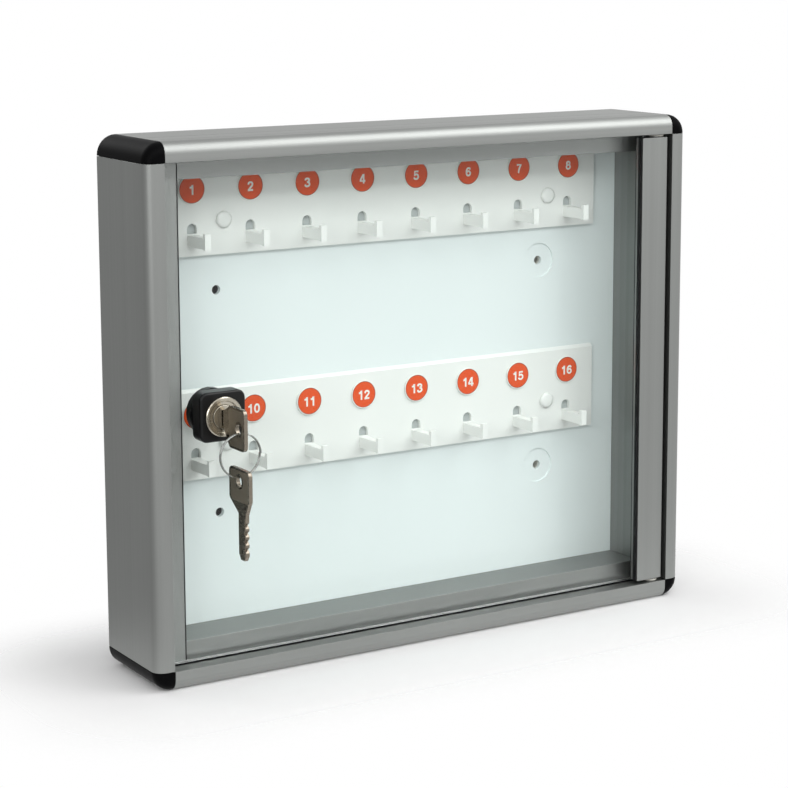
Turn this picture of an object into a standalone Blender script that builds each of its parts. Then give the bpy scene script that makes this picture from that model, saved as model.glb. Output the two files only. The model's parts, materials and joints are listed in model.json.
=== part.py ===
"""Glazed key cabinet for a wall: an aluminium frame, a hinged glass door with a cam lock,
a back panel and two moulded strips that carry sixteen numbered hooks.

Lengths are in metres. Inside this file a place on the case is given as x from the left
outer face, y back from the plane of the front lip and z up from the bottom face. The
model's origin lies on the bottom face, half way along the width and the depth.
"""
import math

import bmesh
import bpy
from mathutils import Euler, Matrix, Vector

# Case outside
CASE_WIDTH = 0.360
CASE_HEIGHT = 0.300
CASE_DEPTH = 0.062

# Gaps: at rest faces, round turning or sliding pieces, and a cutter's overrun
SEAT = 0.0003
FIT = 0.0002
OVERRUN = 0.002
WELD = 0.000001

# Frame section, cut across: u runs inward from the outer face, y back from the lip
LIP_WIDTH = 0.0112
SECTION_WIDTH = 0.0220
SECTION_WALL = 0.0016
EDGE_RADIUS = 0.0068
REBATE_DEPTH = 0.0170
LINE_DEPTH = 0.0005
LINE_WIDTH = 0.0010
FRONT_LINE_Y = 0.0115
REAR_LINE_Y = 0.0288

# Back panel and the grooves that hold it
PANEL_Y = 0.0445
PANEL_THICKNESS = 0.0030
GROOVE_DEPTH = 0.0043
WALL_HOLE_RADIUS = 0.00265
WALL_HOLE_LEFT_INSET = 0.0620
WALL_HOLE_RIGHT_INSET = 0.0787
WALL_HOLE_LOW_INSET = 0.0845
WALL_HOLE_TOP_INSET = 0.0880
DIMPLE_RADIUS = 0.0105
DIMPLE_DEPTH = 0.0008
SPACER_RADIUS = 0.0065
SPACER_BORE_RADIUS = 0.0026

# Corner caps
CAP_LEG_LENGTH = 0.016
CAP_LEG_ROOT = 0.001
CAP_LEG_CLEARANCE = 0.0018

# Hook strips
STRIP_LEFT_GAP = 0.0046
STRIP_RIGHT_GAP = 0.0175
STRIP_THICKNESS = 0.0022
STRIP_HEIGHT = 0.0516
STRIP_CHAMFER = 0.0018
CAM_HOOK_GAP = 0.0048
HOOKS_PER_STRIP = 8
HOOK_END_INSET = 0.0199
HOOK_WIDTH = 0.0060
HOOK_RISE = 0.0058
ARM_THICKNESS = 0.0062
TIP_WIDTH = 0.0036
TIP_DROP = 0.0004
TIP_HEIGHT = 0.0090
TIP_THICKNESS = 0.0025
HOOK_REACH = 0.0195
HOOK_ROOT = 0.0010
EYE_WIDTH = 0.0060
EYE_HEIGHT = 0.0058
EYE_RISE = 0.0124
RIVET_RISE = 0.0194
RIVET_LEFT_SHARE = 0.537
RIVET_RIGHT_SHARE = 0.592
RIVET_HEAD_RADIUS = 0.00475
RIVET_CROWN_RADIUS = 0.0032
RIVET_HEAD_THICKNESS = 0.0016
RIVET_RIM = 0.0008
RIVET_STEM_RADIUS = 0.0022
RIVET_COLLAR_RADIUS = 0.0040
RIVET_COLLAR_THICKNESS = 0.0012

# Number discs
DISC_RADIUS = 0.0081
DISC_THICKNESS = 0.0007
DISC_RISE = 0.0372
DISC_TOP_GAP = 0.0002

# Door glass
DOOR_GAP = 0.0020
GLASS_GAP = 0.0012
GLASS_Y = 0.0090
GLASS_THICKNESS = 0.0040

# Stop strip on the left section, which the closed glass rests on
STOP_WIDTH = 0.0126

# Hinge stile and its gasket
HINGE_GAP = 0.0024
STILE_WIDTH = 0.0188
STILE_FRONT_Y = 0.0013
STILE_DEPTH = 0.0141
PIVOT_INSET = 0.0052
STILE_NOSE_RADIUS = 0.0010
STILE_HEEL_RADIUS = 0.0030
GLASS_GRIP = 0.0082
GASKET_THICKNESS = 0.0008
BEAD_WIDTH = 0.0009
FRONT_BEAD_RISE = 0.0048
REAR_BEAD_RISE = 0.0005

# Hinge pins and bushes
PIN_RADIUS = 0.0020
PIN_GRIP = 0.0115
BUSH_RADIUS = 0.0035
BUSH_FLANGE_RADIUS = 0.0045
BUSH_FLANGE_THICKNESS = 0.0012
BUSH_TAIL = 0.0015

# Cam lock
LOCK_INSET = 0.0205
HOUSING_WIDTH = 0.0276
HOUSING_CORNER_RADIUS = 0.0045
HOUSING_DEPTH = 0.0098
HOUSING_EDGE = 0.0014
BARREL_RADIUS = 0.0090
BARREL_BACK_Y = 0.0250
HEAD_RADIUS = 0.0110
HEAD_THICKNESS = 0.0014
HEAD_RIM = 0.0025
HEAD_RECESS = 0.0008
HEAD_CHAMFER = 0.0005
NUT_RADIUS = 0.0135
NUT_THICKNESS = 0.0050
PLUG_RADIUS = 0.0065
PLUG_PROUD = 0.0003
TAIL_WIDTH = 0.0056
TAIL_SHORT = 0.0002
CAM_REACH = 0.0250
CAM_WIDTH = 0.0130
CAM_THICKNESS = 0.0020
CAM_SLOT_CLEARANCE = 0.0012
SCREW_HEAD_RADIUS = 0.0045
SCREW_HEAD_THICKNESS = 0.0022
SCREW_SHANK_RADIUS = 0.0016
SCREW_SHANK_LENGTH = 0.0026

# Keys, drawn from the far edge of the bow along the blade
KEY_LENGTH = 0.0500
KEY_THICKNESS = 0.0023
KEY_SHOULDER = 0.0246
KEY_STANDOFF = 0.0004
BOW_WIDTH = 0.0230
BOW_LENGTH = 0.0190
BOW_RADIUS = 0.0032
BOW_DROP = 0.0031
BOW_HOLE_RADIUS = 0.0030
BOW_HOLE_INSET = 0.0070
BLADE_WIDTH = 0.0082
BLADE_DROP = 0.0006
BLADE_TIP = 0.0030
NOTCH_COUNT = 4
NOTCH_PITCH = 0.0045
NOTCH_FIRST = 0.0055
NOTCH_DEPTH = 0.0018
NOTCH_WIDTH = 0.0032
KEYWAY_END_GAP = 0.0009

# Key ring
RING_RADIUS = 0.0120
RING_WIRE_RADIUS = 0.00065

# Facets
FINE_STEPS = 32
ROUND_STEPS = 24
SMALL_STEPS = 16
ARC_STEPS = 6
CAP_STEPS = 8
BEVEL_STEPS = 3
WIRE_STEPS = 8
SMOOTH_ANGLE = math.radians(35.0)

# Places that follow from the sizes above
PANEL_BACK_Y = PANEL_Y + PANEL_THICKNESS
GROOVE_FRONT_Y = PANEL_Y - SEAT
GROOVE_BACK_Y = PANEL_BACK_Y + SEAT
STRIP_Y = PANEL_Y - SEAT - STRIP_THICKNESS
INTERIOR_TOP_Z = CASE_HEIGHT - SECTION_WIDTH
STRIP_LEFT_X = SECTION_WIDTH + STRIP_LEFT_GAP
STRIP_LENGTH = CASE_WIDTH - SECTION_WIDTH - STRIP_RIGHT_GAP - STRIP_LEFT_X
HOOK_TOP_RISE = HOOK_RISE - TIP_DROP + TIP_HEIGHT
UPPER_STRIP_Z = INTERIOR_TOP_Z - SEAT - DISC_TOP_GAP - DISC_RADIUS - DISC_RISE
HOOK_PITCH = (STRIP_LENGTH - 2 * HOOK_END_INSET) / (HOOKS_PER_STRIP - 1)
RIVET_LEFT_OFFSET = HOOK_END_INSET + HOOK_PITCH * RIVET_LEFT_SHARE
RIVET_RIGHT_OFFSET = STRIP_LENGTH - HOOK_END_INSET - HOOK_PITCH * (1 - RIVET_RIGHT_SHARE)
LOCK_X = SECTION_WIDTH + LOCK_INSET
LOCK_Z = CASE_HEIGHT / 2
LOWER_STRIP_Z = LOCK_Z - CAM_REACH - CAM_HOOK_GAP - HOOK_TOP_RISE
DOOR_LEFT_X = LIP_WIDTH + DOOR_GAP
DOOR_BOTTOM_Z = LIP_WIDTH + DOOR_GAP
DOOR_HEIGHT = CASE_HEIGHT - 2 * DOOR_BOTTOM_Z
STILE_RIGHT_X = CASE_WIDTH - LIP_WIDTH - HINGE_GAP
STILE_LEFT_X = STILE_RIGHT_X - STILE_WIDTH
PIVOT_X = STILE_RIGHT_X - PIVOT_INSET
PIVOT_Y = STILE_FRONT_Y + PIVOT_INSET
GLASS_RIGHT_X = STILE_LEFT_X + GLASS_GRIP
GLASS_BACK_Y = GLASS_Y + GLASS_THICKNESS
HOUSING_BACK_Y = GLASS_Y - SEAT
HOUSING_FRONT_Y = HOUSING_BACK_Y - HOUSING_DEPTH
HEAD_BACK_Y = HOUSING_FRONT_Y - SEAT
HEAD_FRONT_Y = HEAD_BACK_Y - HEAD_THICKNESS
RECESS_Y = HEAD_FRONT_Y + HEAD_RECESS
PLUG_FRONT_Y = RECESS_Y - PLUG_PROUD
PLUG_BACK_Y = BARREL_BACK_Y + SEAT
CAM_FRONT_Y = PLUG_BACK_Y + SEAT
CAM_BACK_Y = CAM_FRONT_Y + CAM_THICKNESS
TAIL_END_Y = CAM_BACK_Y - TAIL_SHORT
SCREW_HEAD_Y = CAM_BACK_Y + SEAT
BLADE_Z = LOCK_Z - BLADE_DROP
KEY_FAR_Y = PLUG_FRONT_Y - KEY_STANDOFF - KEY_SHOULDER
KEY_TIP_Y = KEY_FAR_Y + KEY_LENGTH
BOW_Z = BLADE_Z - BOW_DROP
RING_Y = KEY_FAR_Y + BOW_HOLE_INSET
HANG_OFFSET = BOW_HOLE_RADIUS - RING_WIRE_RADIUS - FIT
RING_TOP_Z = BOW_Z - HANG_OFFSET
RING_Z = RING_TOP_Z - RING_RADIUS
SPARE_HOLE_Z = RING_Z - RING_RADIUS - HANG_OFFSET
SPARE_FAR_Z = SPARE_HOLE_Z + BOW_HOLE_INSET

ALONG_X = Vector((1, 0, 0))
ALONG_Y = Vector((0, 1, 0))
ALONG_Z = Vector((0, 0, 1))
QUARTER = math.pi / 2


def clear_scene():
    """Remove whatever objects the file opened with."""
    for item in list(bpy.data.objects):
        bpy.data.objects.remove(item, do_unlink=True)


def linear(level):
    """Turn an sRGB byte into the linear value that a shader takes."""
    share = level / 255
    if share <= 0.04045:
        return share / 12.92
    return ((share + 0.055) / 1.055) ** 2.4


def make_material(name, rgb, roughness, metallic):
    """Return a Principled material of one colour, given as sRGB bytes."""
    made = bpy.data.materials.new(name)
    made.use_nodes = True
    shader = made.node_tree.nodes["Principled BSDF"]
    shader.inputs["Base Color"].default_value = [linear(level) for level in rgb] + [1.0]
    shader.inputs["Roughness"].default_value = roughness
    shader.inputs["Metallic"].default_value = metallic
    return made


def make_materials():
    """Return every material of the cabinet by name."""
    glass = make_material("door_glass", (214, 224, 222), 0.03, 0.0)
    glass.node_tree.nodes["Principled BSDF"].inputs["Transmission Weight"].default_value = 1.0
    return {
        "anodised": make_material("anodised_aluminium", (146, 149, 146), 0.34, 1.0),
        "cap": make_material("cap_black_plastic", (26, 26, 27), 0.38, 0.0),
        "panel": make_material("panel_white", (226, 236, 236), 0.22, 0.0),
        "dark_spacer": make_material("spacer_black", (34, 34, 35), 0.5, 0.0),
        "light_spacer": make_material("spacer_beige", (196, 194, 184), 0.5, 0.0),
        "strip": make_material("strip_white_plastic", (238, 238, 235), 0.35, 0.0),
        "disc": make_material("disc_orange", (226, 86, 48), 0.4, 0.0),
        "glass": glass,
        "gasket": make_material("gasket_black_rubber", (24, 24, 25), 0.6, 0.0),
        "steel": make_material("pin_steel", (150, 150, 152), 0.3, 1.0),
        "nylon": make_material("bush_nylon", (214, 212, 204), 0.45, 0.0),
        "housing": make_material("housing_black_plastic", (22, 22, 24), 0.35, 0.0),
        "nickel": make_material("lock_nickel", (196, 190, 176), 0.22, 1.0),
        "key": make_material("key_nickel_silver", (150, 144, 132), 0.3, 1.0),
    }


def round_off(centre, radius, start, turn, steps=ARC_STEPS):
    """Return the points of an arc, both ends included."""
    points = []
    for index in range(steps + 1):
        angle = start + turn * index / steps
        points.append((centre[0] + radius * math.cos(angle), centre[1] + radius * math.sin(angle)))
    return points


def circle(centre, radius, steps=ROUND_STEPS):
    """Return the points of a full circle."""
    return round_off(centre, radius, 0, math.tau, steps)[:-1]


def rectangle(left, bottom, right, top):
    """Return the corners of a rectangle."""
    return [(left, bottom), (right, bottom), (right, top), (left, top)]


def flat_region(outline, holes=()):
    """Return a bmesh holding a flat region with holes, in its own X and Y."""
    shape = bmesh.new()
    for points in [outline, *holes]:
        corners = [shape.verts.new((x, y, 0)) for x, y in points]
        for first, second in zip(corners, corners[1:] + corners[:1]):
            shape.edges.new((first, second))
    bmesh.ops.triangle_fill(shape, edges=shape.edges[:], use_beauty=True)
    return shape


def raise_region(shape, length):
    """Extrude a flat region along its Z and return the far vertices."""
    raised = bmesh.ops.extrude_face_region(shape, geom=shape.faces[:])
    far = [item for item in raised["geom"] if isinstance(item, bmesh.types.BMVert)]
    bmesh.ops.translate(shape, verts=far, vec=(0, 0, length))
    return far


def face_out(shape):
    """Point a closed shape's faces outward."""
    bmesh.ops.recalc_face_normals(shape, faces=shape.faces[:])
    if shape.calc_volume(signed=True) < 0:
        bmesh.ops.reverse_faces(shape, faces=shape.faces[:])


def stand(shape, right, up, along):
    """Turn a shape so that its X, Y and Z run along the three given directions."""
    shape.transform(Matrix((right, up, along)).transposed().to_4x4())
    face_out(shape)


def prism(outline, holes, length, right, up, along):
    """Return an outline with holes, extruded and stood along the given directions."""
    shape = flat_region(outline, holes)
    raise_region(shape, length)
    stand(shape, right, up, along)
    return shape


def shift(shape, x, y, z):
    """Move a shape and return it."""
    bmesh.ops.translate(shape, verts=shape.verts[:], vec=(x, y, z))
    return shape


def box(low, high):
    """Return a box between two corners."""
    outline = rectangle(low[0], low[1], high[0], high[1])
    return shift(prism(outline, (), high[2] - low[2], ALONG_X, ALONG_Y, ALONG_Z), 0, 0, low[2])


def turned(profile, closed, steps):
    """Spin a profile of (radius, y) points about the Y axis."""
    shape = bmesh.new()
    points = [shape.verts.new((radius, y, 0)) for radius, y in profile]
    pairs = list(zip(points, points[1:]))
    if closed:
        pairs.append((points[-1], points[0]))
    edges = [shape.edges.new(pair) for pair in pairs]
    bmesh.ops.spin(
        shape,
        geom=points + edges,
        cent=(0, 0, 0),
        axis=ALONG_Y,
        angle=math.tau,
        steps=steps,
        use_duplicate=False,
    )
    bmesh.ops.remove_doubles(shape, verts=shape.verts[:], dist=WELD)
    face_out(shape)
    return shape


def rod(radius, start, end, steps=ROUND_STEPS):
    """Return a round rod along Y."""
    return turned([(0, start), (radius, start), (radius, end), (0, end)], False, steps)


def tube(inner, outer, start, end, steps=ROUND_STEPS):
    """Return a round tube along Y."""
    loop = [(inner, start), (outer, start), (outer, end), (inner, end)]
    return turned(loop, True, steps)


def merge(shapes):
    """Put several shapes that don't touch into one and return it."""
    whole = bmesh.new()
    for shape in shapes:
        piece = bpy.data.meshes.new("piece")
        shape.to_mesh(piece)
        shape.free()
        whole.from_mesh(piece)
        bpy.data.meshes.remove(piece)
    return whole


def make_object(name, shape):
    """Turn a shape into an object of the scene."""
    mesh = bpy.data.meshes.new(name)
    shape.to_mesh(mesh)
    shape.free()
    made = bpy.data.objects.new(name, mesh)
    bpy.context.scene.collection.objects.link(made)
    return made


def combine(target, shape, operation):
    """Join a shape to an object, or cut it away, with an exact Boolean."""
    tool = make_object("tool", shape)
    modifier = target.modifiers.new("combine", "BOOLEAN")
    modifier.operation = operation
    modifier.solver = "EXACT"
    modifier.object = tool
    bpy.context.view_layer.update()
    evaluated = target.evaluated_get(bpy.context.evaluated_depsgraph_get())
    result = bpy.data.meshes.new_from_object(evaluated)
    plain = target.data
    target.modifiers.clear()
    target.data = result
    bpy.data.meshes.remove(plain)
    bpy.data.objects.remove(tool, do_unlink=True)


def drills(places, radius, depth, steps):
    """Return round cutters along Y, from before a front face, at several (x, z) places."""
    return [shift(rod(radius, -OVERRUN, depth, steps), x, 0, z) for x, z in places]


def finish(made, material):
    """Give an object its one material and smooth shading with sharp edges kept."""
    mesh = made.data
    mesh.materials.clear()
    mesh.materials.append(material)
    mesh.polygons.foreach_set("material_index", [0] * len(mesh.polygons))
    mesh.shade_smooth()
    mesh.set_sharp_from_angle(angle=SMOOTH_ANGLE)
    return made


def case_point(x, y, z):
    """Return the world place of a point given from the case's left, lip and bottom."""
    return Vector((x - CASE_WIDTH / 2, y - CASE_DEPTH / 2, z))


def anchor_of(carrier):
    """Return the world place of a carrier that isn't turned."""
    place = Vector()
    while carrier is not None:
        place += carrier.location
        carrier = carrier.parent
    return place


def put(made, carrier, x, y, z, turn=(0, 0, 0)):
    """Place an object at a point of the case, carried by an empty or by the case."""
    made.parent = carrier
    made.location = case_point(x, y, z) - anchor_of(carrier)
    made.rotation_euler = Euler(turn)
    return made


def make_axis(name, carrier, x, y, z):
    """Add an empty on a joint's axis."""
    axis = bpy.data.objects.new(name, None)
    axis.empty_display_size = SECTION_WIDTH
    bpy.context.scene.collection.objects.link(axis)
    return put(axis, carrier, x, y, z)


def duplicate(made, name):
    """Return a copy of an object that shares its mesh."""
    copy = made.copy()
    copy.name = name
    bpy.context.scene.collection.objects.link(copy)
    return copy


def section_outline():
    """Return the frame section's outline as (u, y) points."""
    arc_centre = (EDGE_RADIUS, EDGE_RADIUS)
    points = [(LIP_WIDTH, 0)]
    points += round_off(arc_centre, EDGE_RADIUS, -QUARTER, -QUARTER)
    for line_y in (FRONT_LINE_Y, REAR_LINE_Y):
        points.append((0, line_y - LINE_WIDTH / 2))
        points.append((LINE_DEPTH, line_y))
        points.append((0, line_y + LINE_WIDTH / 2))
    points.append((0, CASE_DEPTH))
    points.append((SECTION_WIDTH, CASE_DEPTH))
    points.append((SECTION_WIDTH, GROOVE_BACK_Y))
    points.append((SECTION_WIDTH - GROOVE_DEPTH, GROOVE_BACK_Y))
    points.append((SECTION_WIDTH - GROOVE_DEPTH, GROOVE_FRONT_Y))
    points.append((SECTION_WIDTH, GROOVE_FRONT_Y))
    points.append((SECTION_WIDTH, REBATE_DEPTH))
    points.append((LIP_WIDTH, REBATE_DEPTH))
    return points


def section_chamber():
    """Return the hollow inside the frame section as (u, y) points."""
    wall = SECTION_WALL
    inner = SECTION_WIDTH - wall
    groove = SECTION_WIDTH - GROOVE_DEPTH - wall
    points = [(LIP_WIDTH - wall, wall)]
    points += round_off((EDGE_RADIUS, EDGE_RADIUS), EDGE_RADIUS - wall, -QUARTER, -QUARTER)
    points.append((wall, CASE_DEPTH - wall))
    points.append((inner, CASE_DEPTH - wall))
    points.append((inner, GROOVE_BACK_Y + wall))
    points.append((groove, GROOVE_BACK_Y + wall))
    points.append((groove, GROOVE_FRONT_Y - wall))
    points.append((inner, GROOVE_FRONT_Y - wall))
    points.append((inner, REBATE_DEPTH + wall))
    points.append((LIP_WIDTH - wall, REBATE_DEPTH + wall))
    return points


def section_shape(length):
    """Return one frame section along X, cut square at the caps and mitred further in.

    Its ends start at the cap, so the square part stands back by the lip's width, and the
    part past the lip stands back by its own distance from the outer face.
    """
    mitre_gap = SEAT / 2
    square_end = LIP_WIDTH + SEAT
    kink = square_end - mitre_gap
    shape = flat_region(section_outline(), [section_chamber()])
    everything = shape.verts[:] + shape.edges[:] + shape.faces[:]
    bmesh.ops.bisect_plane(shape, geom=everything, dist=WELD, plane_co=(kink, 0, 0), plane_no=ALONG_X)
    near = shape.verts[:]
    far = raise_region(shape, length)
    for vertex in near:
        vertex.co.z += max(square_end, vertex.co.x + mitre_gap)
    for vertex in far:
        vertex.co.z -= max(square_end, vertex.co.x + mitre_gap)
    stand(shape, ALONG_Z, ALONG_Y, ALONG_X)
    return shape


def bush_hole(along):
    """Return the cutter for a hinge bush, at a distance along a frame section."""
    start = LIP_WIDTH - SECTION_WALL - OVERRUN
    end = LIP_WIDTH + OVERRUN
    cutter = rod(BUSH_RADIUS + SEAT, start, end)
    stand(cutter, ALONG_X, ALONG_Z, ALONG_Y)
    return shift(cutter, along, PIVOT_Y, 0)


def cam_slot():
    """Return the cutter for the slot that the cam swings into, on the left section."""
    wall_distance = LOCK_X - SECTION_WIDTH
    sweep = math.sqrt(max(CAM_REACH ** 2 - wall_distance ** 2, 0))
    below = max(sweep, CAM_WIDTH / 2) + CAM_SLOT_CLEARANCE
    above = CAM_WIDTH / 2 + CAM_SLOT_CLEARANCE
    axis = CASE_HEIGHT - LOCK_Z
    low = (axis - above, CAM_FRONT_Y - CAM_SLOT_CLEARANCE, SECTION_WIDTH - SECTION_WALL - OVERRUN)
    high = (axis + below, CAM_BACK_Y + CAM_SLOT_CLEARANCE, SECTION_WIDTH + OVERRUN)
    return box(low, high)


def add_frame(material):
    """Add the four frame sections, each turned into its side of the case."""
    bottom = make_object("frame_bottom", section_shape(CASE_WIDTH))
    combine(bottom, bush_hole(PIVOT_X), "DIFFERENCE")
    put(finish(bottom, material), None, 0, 0, 0)
    left = make_object("frame_left", section_shape(CASE_HEIGHT))
    combine(left, cam_slot(), "DIFFERENCE")
    put(finish(left, material), None, 0, 0, CASE_HEIGHT, (0, QUARTER, 0))
    top = make_object("frame_top", section_shape(CASE_WIDTH))
    combine(top, bush_hole(CASE_WIDTH - PIVOT_X), "DIFFERENCE")
    put(finish(top, material), None, CASE_WIDTH, 0, CASE_HEIGHT, (0, 2 * QUARTER, 0))
    right = make_object("frame_right", section_shape(CASE_HEIGHT))
    put(finish(right, material), None, CASE_WIDTH, 0, 0, (0, 3 * QUARTER, 0))


def cap_shape():
    """Return the round part of a corner cap: a quarter turn of the section's outer outline."""
    shape = bmesh.new()
    rounding = round_off(
        (LIP_WIDTH - EDGE_RADIUS, EDGE_RADIUS), EDGE_RADIUS, -QUARTER, QUARTER
    )
    outline = [(0, 0), *rounding, (LIP_WIDTH, CASE_DEPTH), (0, CASE_DEPTH)]
    corners = [shape.verts.new((-radius, y, 0)) for radius, y in outline]
    edges = [shape.edges.new(pair) for pair in zip(corners, corners[1:])]
    spun = bmesh.ops.spin(
        shape,
        geom=corners + edges,
        cent=(0, 0, 0),
        axis=ALONG_Y,
        angle=-QUARTER,
        steps=CAP_STEPS,
        use_duplicate=False,
    )
    last = [item for item in spun["geom_last"] if isinstance(item, bmesh.types.BMVert)]
    shape.faces.new(corners)
    last.sort(key=lambda vertex: outline_order(vertex, outline))
    shape.faces.new(last)
    bmesh.ops.remove_doubles(shape, verts=shape.verts[:], dist=WELD)
    face_out(shape)
    return shape


def outline_order(vertex, outline):
    """Return the index of the outline point that a vertex of the spun profile repeats."""
    reach = math.hypot(vertex.co.x, vertex.co.z)
    misses = [math.hypot(reach - radius, vertex.co.y - y) for radius, y in outline]
    return misses.index(min(misses))


def cap_leg(right, along):
    """Return one leg of a corner cap, which plugs into a frame section."""
    inner = LIP_WIDTH - SECTION_WALL - SEAT
    outer = SECTION_WALL + SEAT
    front = PIVOT_Y + BUSH_RADIUS + CAP_LEG_CLEARANCE
    back = CASE_DEPTH - SECTION_WALL - SEAT
    outline = rectangle(outer - LIP_WIDTH, front, inner - LIP_WIDTH, back)
    leg = prism(outline, (), CAP_LEG_LENGTH + CAP_LEG_ROOT, right, ALONG_Y, along)
    start = along * -CAP_LEG_ROOT
    return shift(leg, start.x, start.y, start.z)


def add_corner_caps(material):
    """Add the four caps, each turned into its corner."""
    first = make_object("corner_cap_bottom_left", cap_shape())
    combine(first, cap_leg(ALONG_Z, ALONG_X), "UNION")
    combine(first, cap_leg(ALONG_X, ALONG_Z), "UNION")
    finish(first, material)
    near = LIP_WIDTH
    right = CASE_WIDTH - LIP_WIDTH
    top = CASE_HEIGHT - LIP_WIDTH
    put(first, None, near, 0, near)
    put(duplicate(first, "corner_cap_top_left"), None, near, 0, top, (0, QUARTER, 0))
    put(duplicate(first, "corner_cap_top_right"), None, right, 0, top, (0, 2 * QUARTER, 0))
    put(duplicate(first, "corner_cap_bottom_right"), None, right, 0, near, (0, 3 * QUARTER, 0))


def rivet_places():
    """Return the (x, z) places of the four rivets with their names."""
    left = STRIP_LEFT_X + RIVET_LEFT_OFFSET
    right = STRIP_LEFT_X + RIVET_RIGHT_OFFSET
    upper = UPPER_STRIP_Z + RIVET_RISE
    lower = LOWER_STRIP_Z + RIVET_RISE
    return {
        "strip_rivet_upper_left": (left, upper),
        "strip_rivet_upper_right": (right, upper),
        "strip_rivet_lower_left": (left, lower),
        "strip_rivet_lower_right": (right, lower),
    }


def wall_hole_places():
    """Return the (x, z) places of the four wall screw holes by name."""
    left = WALL_HOLE_LEFT_INSET
    right = CASE_WIDTH - WALL_HOLE_RIGHT_INSET
    lower = WALL_HOLE_LOW_INSET
    upper = CASE_HEIGHT - WALL_HOLE_TOP_INSET
    return {
        "upper_left": (left, upper),
        "lower_left": (left, lower),
        "upper_right": (right, upper),
        "lower_right": (right, lower),
    }


def add_back_panel(material):
    """Add the panel in its grooves, with the screw holes and the two shallow dimples."""
    edge = SECTION_WIDTH - GROOVE_DEPTH + SEAT
    high = (CASE_WIDTH - edge, PANEL_THICKNESS, CASE_HEIGHT - edge)
    panel = make_object("back_panel", box((edge, 0, edge), high))
    dimples = [place for side, place in wall_hole_places().items() if "right" in side]
    through = PANEL_THICKNESS + OVERRUN
    holes = drills(wall_hole_places().values(), WALL_HOLE_RADIUS, through, SMALL_STEPS)
    holes += drills(rivet_places().values(), RIVET_STEM_RADIUS + SEAT, through, SMALL_STEPS)
    combine(panel, merge(drills(dimples, DIMPLE_RADIUS, DIMPLE_DEPTH, ROUND_STEPS)), "DIFFERENCE")
    combine(panel, merge(holes), "DIFFERENCE")
    put(finish(panel, material), None, 0, PANEL_Y, 0)


def add_wall_spacers(dark, light):
    """Add the spacers that carry the panel on the wall, dark on the left and light on the right."""
    length = CASE_DEPTH - PANEL_BACK_Y - SEAT
    for side, place in wall_hole_places().items():
        made = make_object("wall_spacer_" + side, tube(SPACER_BORE_RADIUS, SPACER_RADIUS, 0, length))
        material = dark if "left" in side else light
        put(finish(made, material), None, place[0], PANEL_BACK_Y + SEAT, place[1])


def hook_offsets():
    """Return each hook's distance from the strip's left end."""
    return [HOOK_END_INSET + HOOK_PITCH * index for index in range(HOOKS_PER_STRIP)]


def eye_cutter(middle, through):
    """Return the cutter for the arched hole over a hook, flat below and round above."""
    half = EYE_WIDTH / 2
    arch = round_off((middle, EYE_RISE + EYE_HEIGHT - half), half, 0, math.pi)
    outline = [(middle - half, EYE_RISE), (middle + half, EYE_RISE), *arch]
    cutter = prism(outline, (), through + OVERRUN, ALONG_X, ALONG_Z, ALONG_Y)
    return shift(cutter, 0, -OVERRUN, 0)


def hook_shape(middle):
    """Return one hook: an arm that narrows in front, with an upright plate at its end."""
    top = HOOK_RISE + ARM_THICKNESS
    tip_top = HOOK_TOP_RISE
    outline = [
        (HOOK_ROOT, HOOK_RISE),
        (HOOK_ROOT, top),
        (TIP_THICKNESS - HOOK_REACH, top),
        (TIP_THICKNESS - HOOK_REACH, tip_top),
        (-HOOK_REACH, tip_top),
        (-HOOK_REACH, HOOK_RISE - TIP_DROP),
        (TIP_THICKNESS - HOOK_REACH, HOOK_RISE - TIP_DROP),
        (TIP_THICKNESS - HOOK_REACH, HOOK_RISE),
    ]
    hook = prism(outline, (), HOOK_WIDTH, ALONG_Y, ALONG_Z, ALONG_X)
    shift(hook, -HOOK_WIDTH / 2, 0, 0)
    for vertex in hook.verts:
        if vertex.co.y < 0:
            vertex.co.x *= TIP_WIDTH / HOOK_WIDTH
    return shift(hook, middle, 0, 0)


def add_strip(name, bottom_z, height, material):
    """Add one hook strip, with its front face on the local plane y = 0."""
    strip = make_object(name, box((0, 0, 0), (STRIP_LENGTH, STRIP_THICKNESS, height)))
    through = STRIP_THICKNESS + OVERRUN
    rivets = [(RIVET_LEFT_OFFSET, RIVET_RISE), (RIVET_RIGHT_OFFSET, RIVET_RISE)]
    cutters = drills(rivets, RIVET_STEM_RADIUS + SEAT, through, SMALL_STEPS)
    cutters += [eye_cutter(middle, through) for middle in hook_offsets()]
    combine(strip, merge(cutters), "DIFFERENCE")
    wedge_outline = [
        (-OVERRUN, height - STRIP_CHAMFER - OVERRUN),
        (STRIP_CHAMFER + OVERRUN, height + OVERRUN),
        (-OVERRUN, height + OVERRUN),
    ]
    wedge = prism(wedge_outline, (), STRIP_LENGTH + 2 * OVERRUN, ALONG_Y, ALONG_Z, ALONG_X)
    combine(strip, shift(wedge, -OVERRUN, 0, 0), "DIFFERENCE")
    combine(strip, merge([hook_shape(middle) for middle in hook_offsets()]), "UNION")
    put(finish(strip, material), None, STRIP_LEFT_X, STRIP_Y, bottom_z)


def add_strips(material):
    """Add both strips; the upper one is trimmed under the top frame section."""
    room = INTERIOR_TOP_Z - SEAT - UPPER_STRIP_Z
    add_strip("hook_strip_lower", LOWER_STRIP_Z, STRIP_HEIGHT, material)
    add_strip("hook_strip_upper", UPPER_STRIP_Z, room, material)


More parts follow.
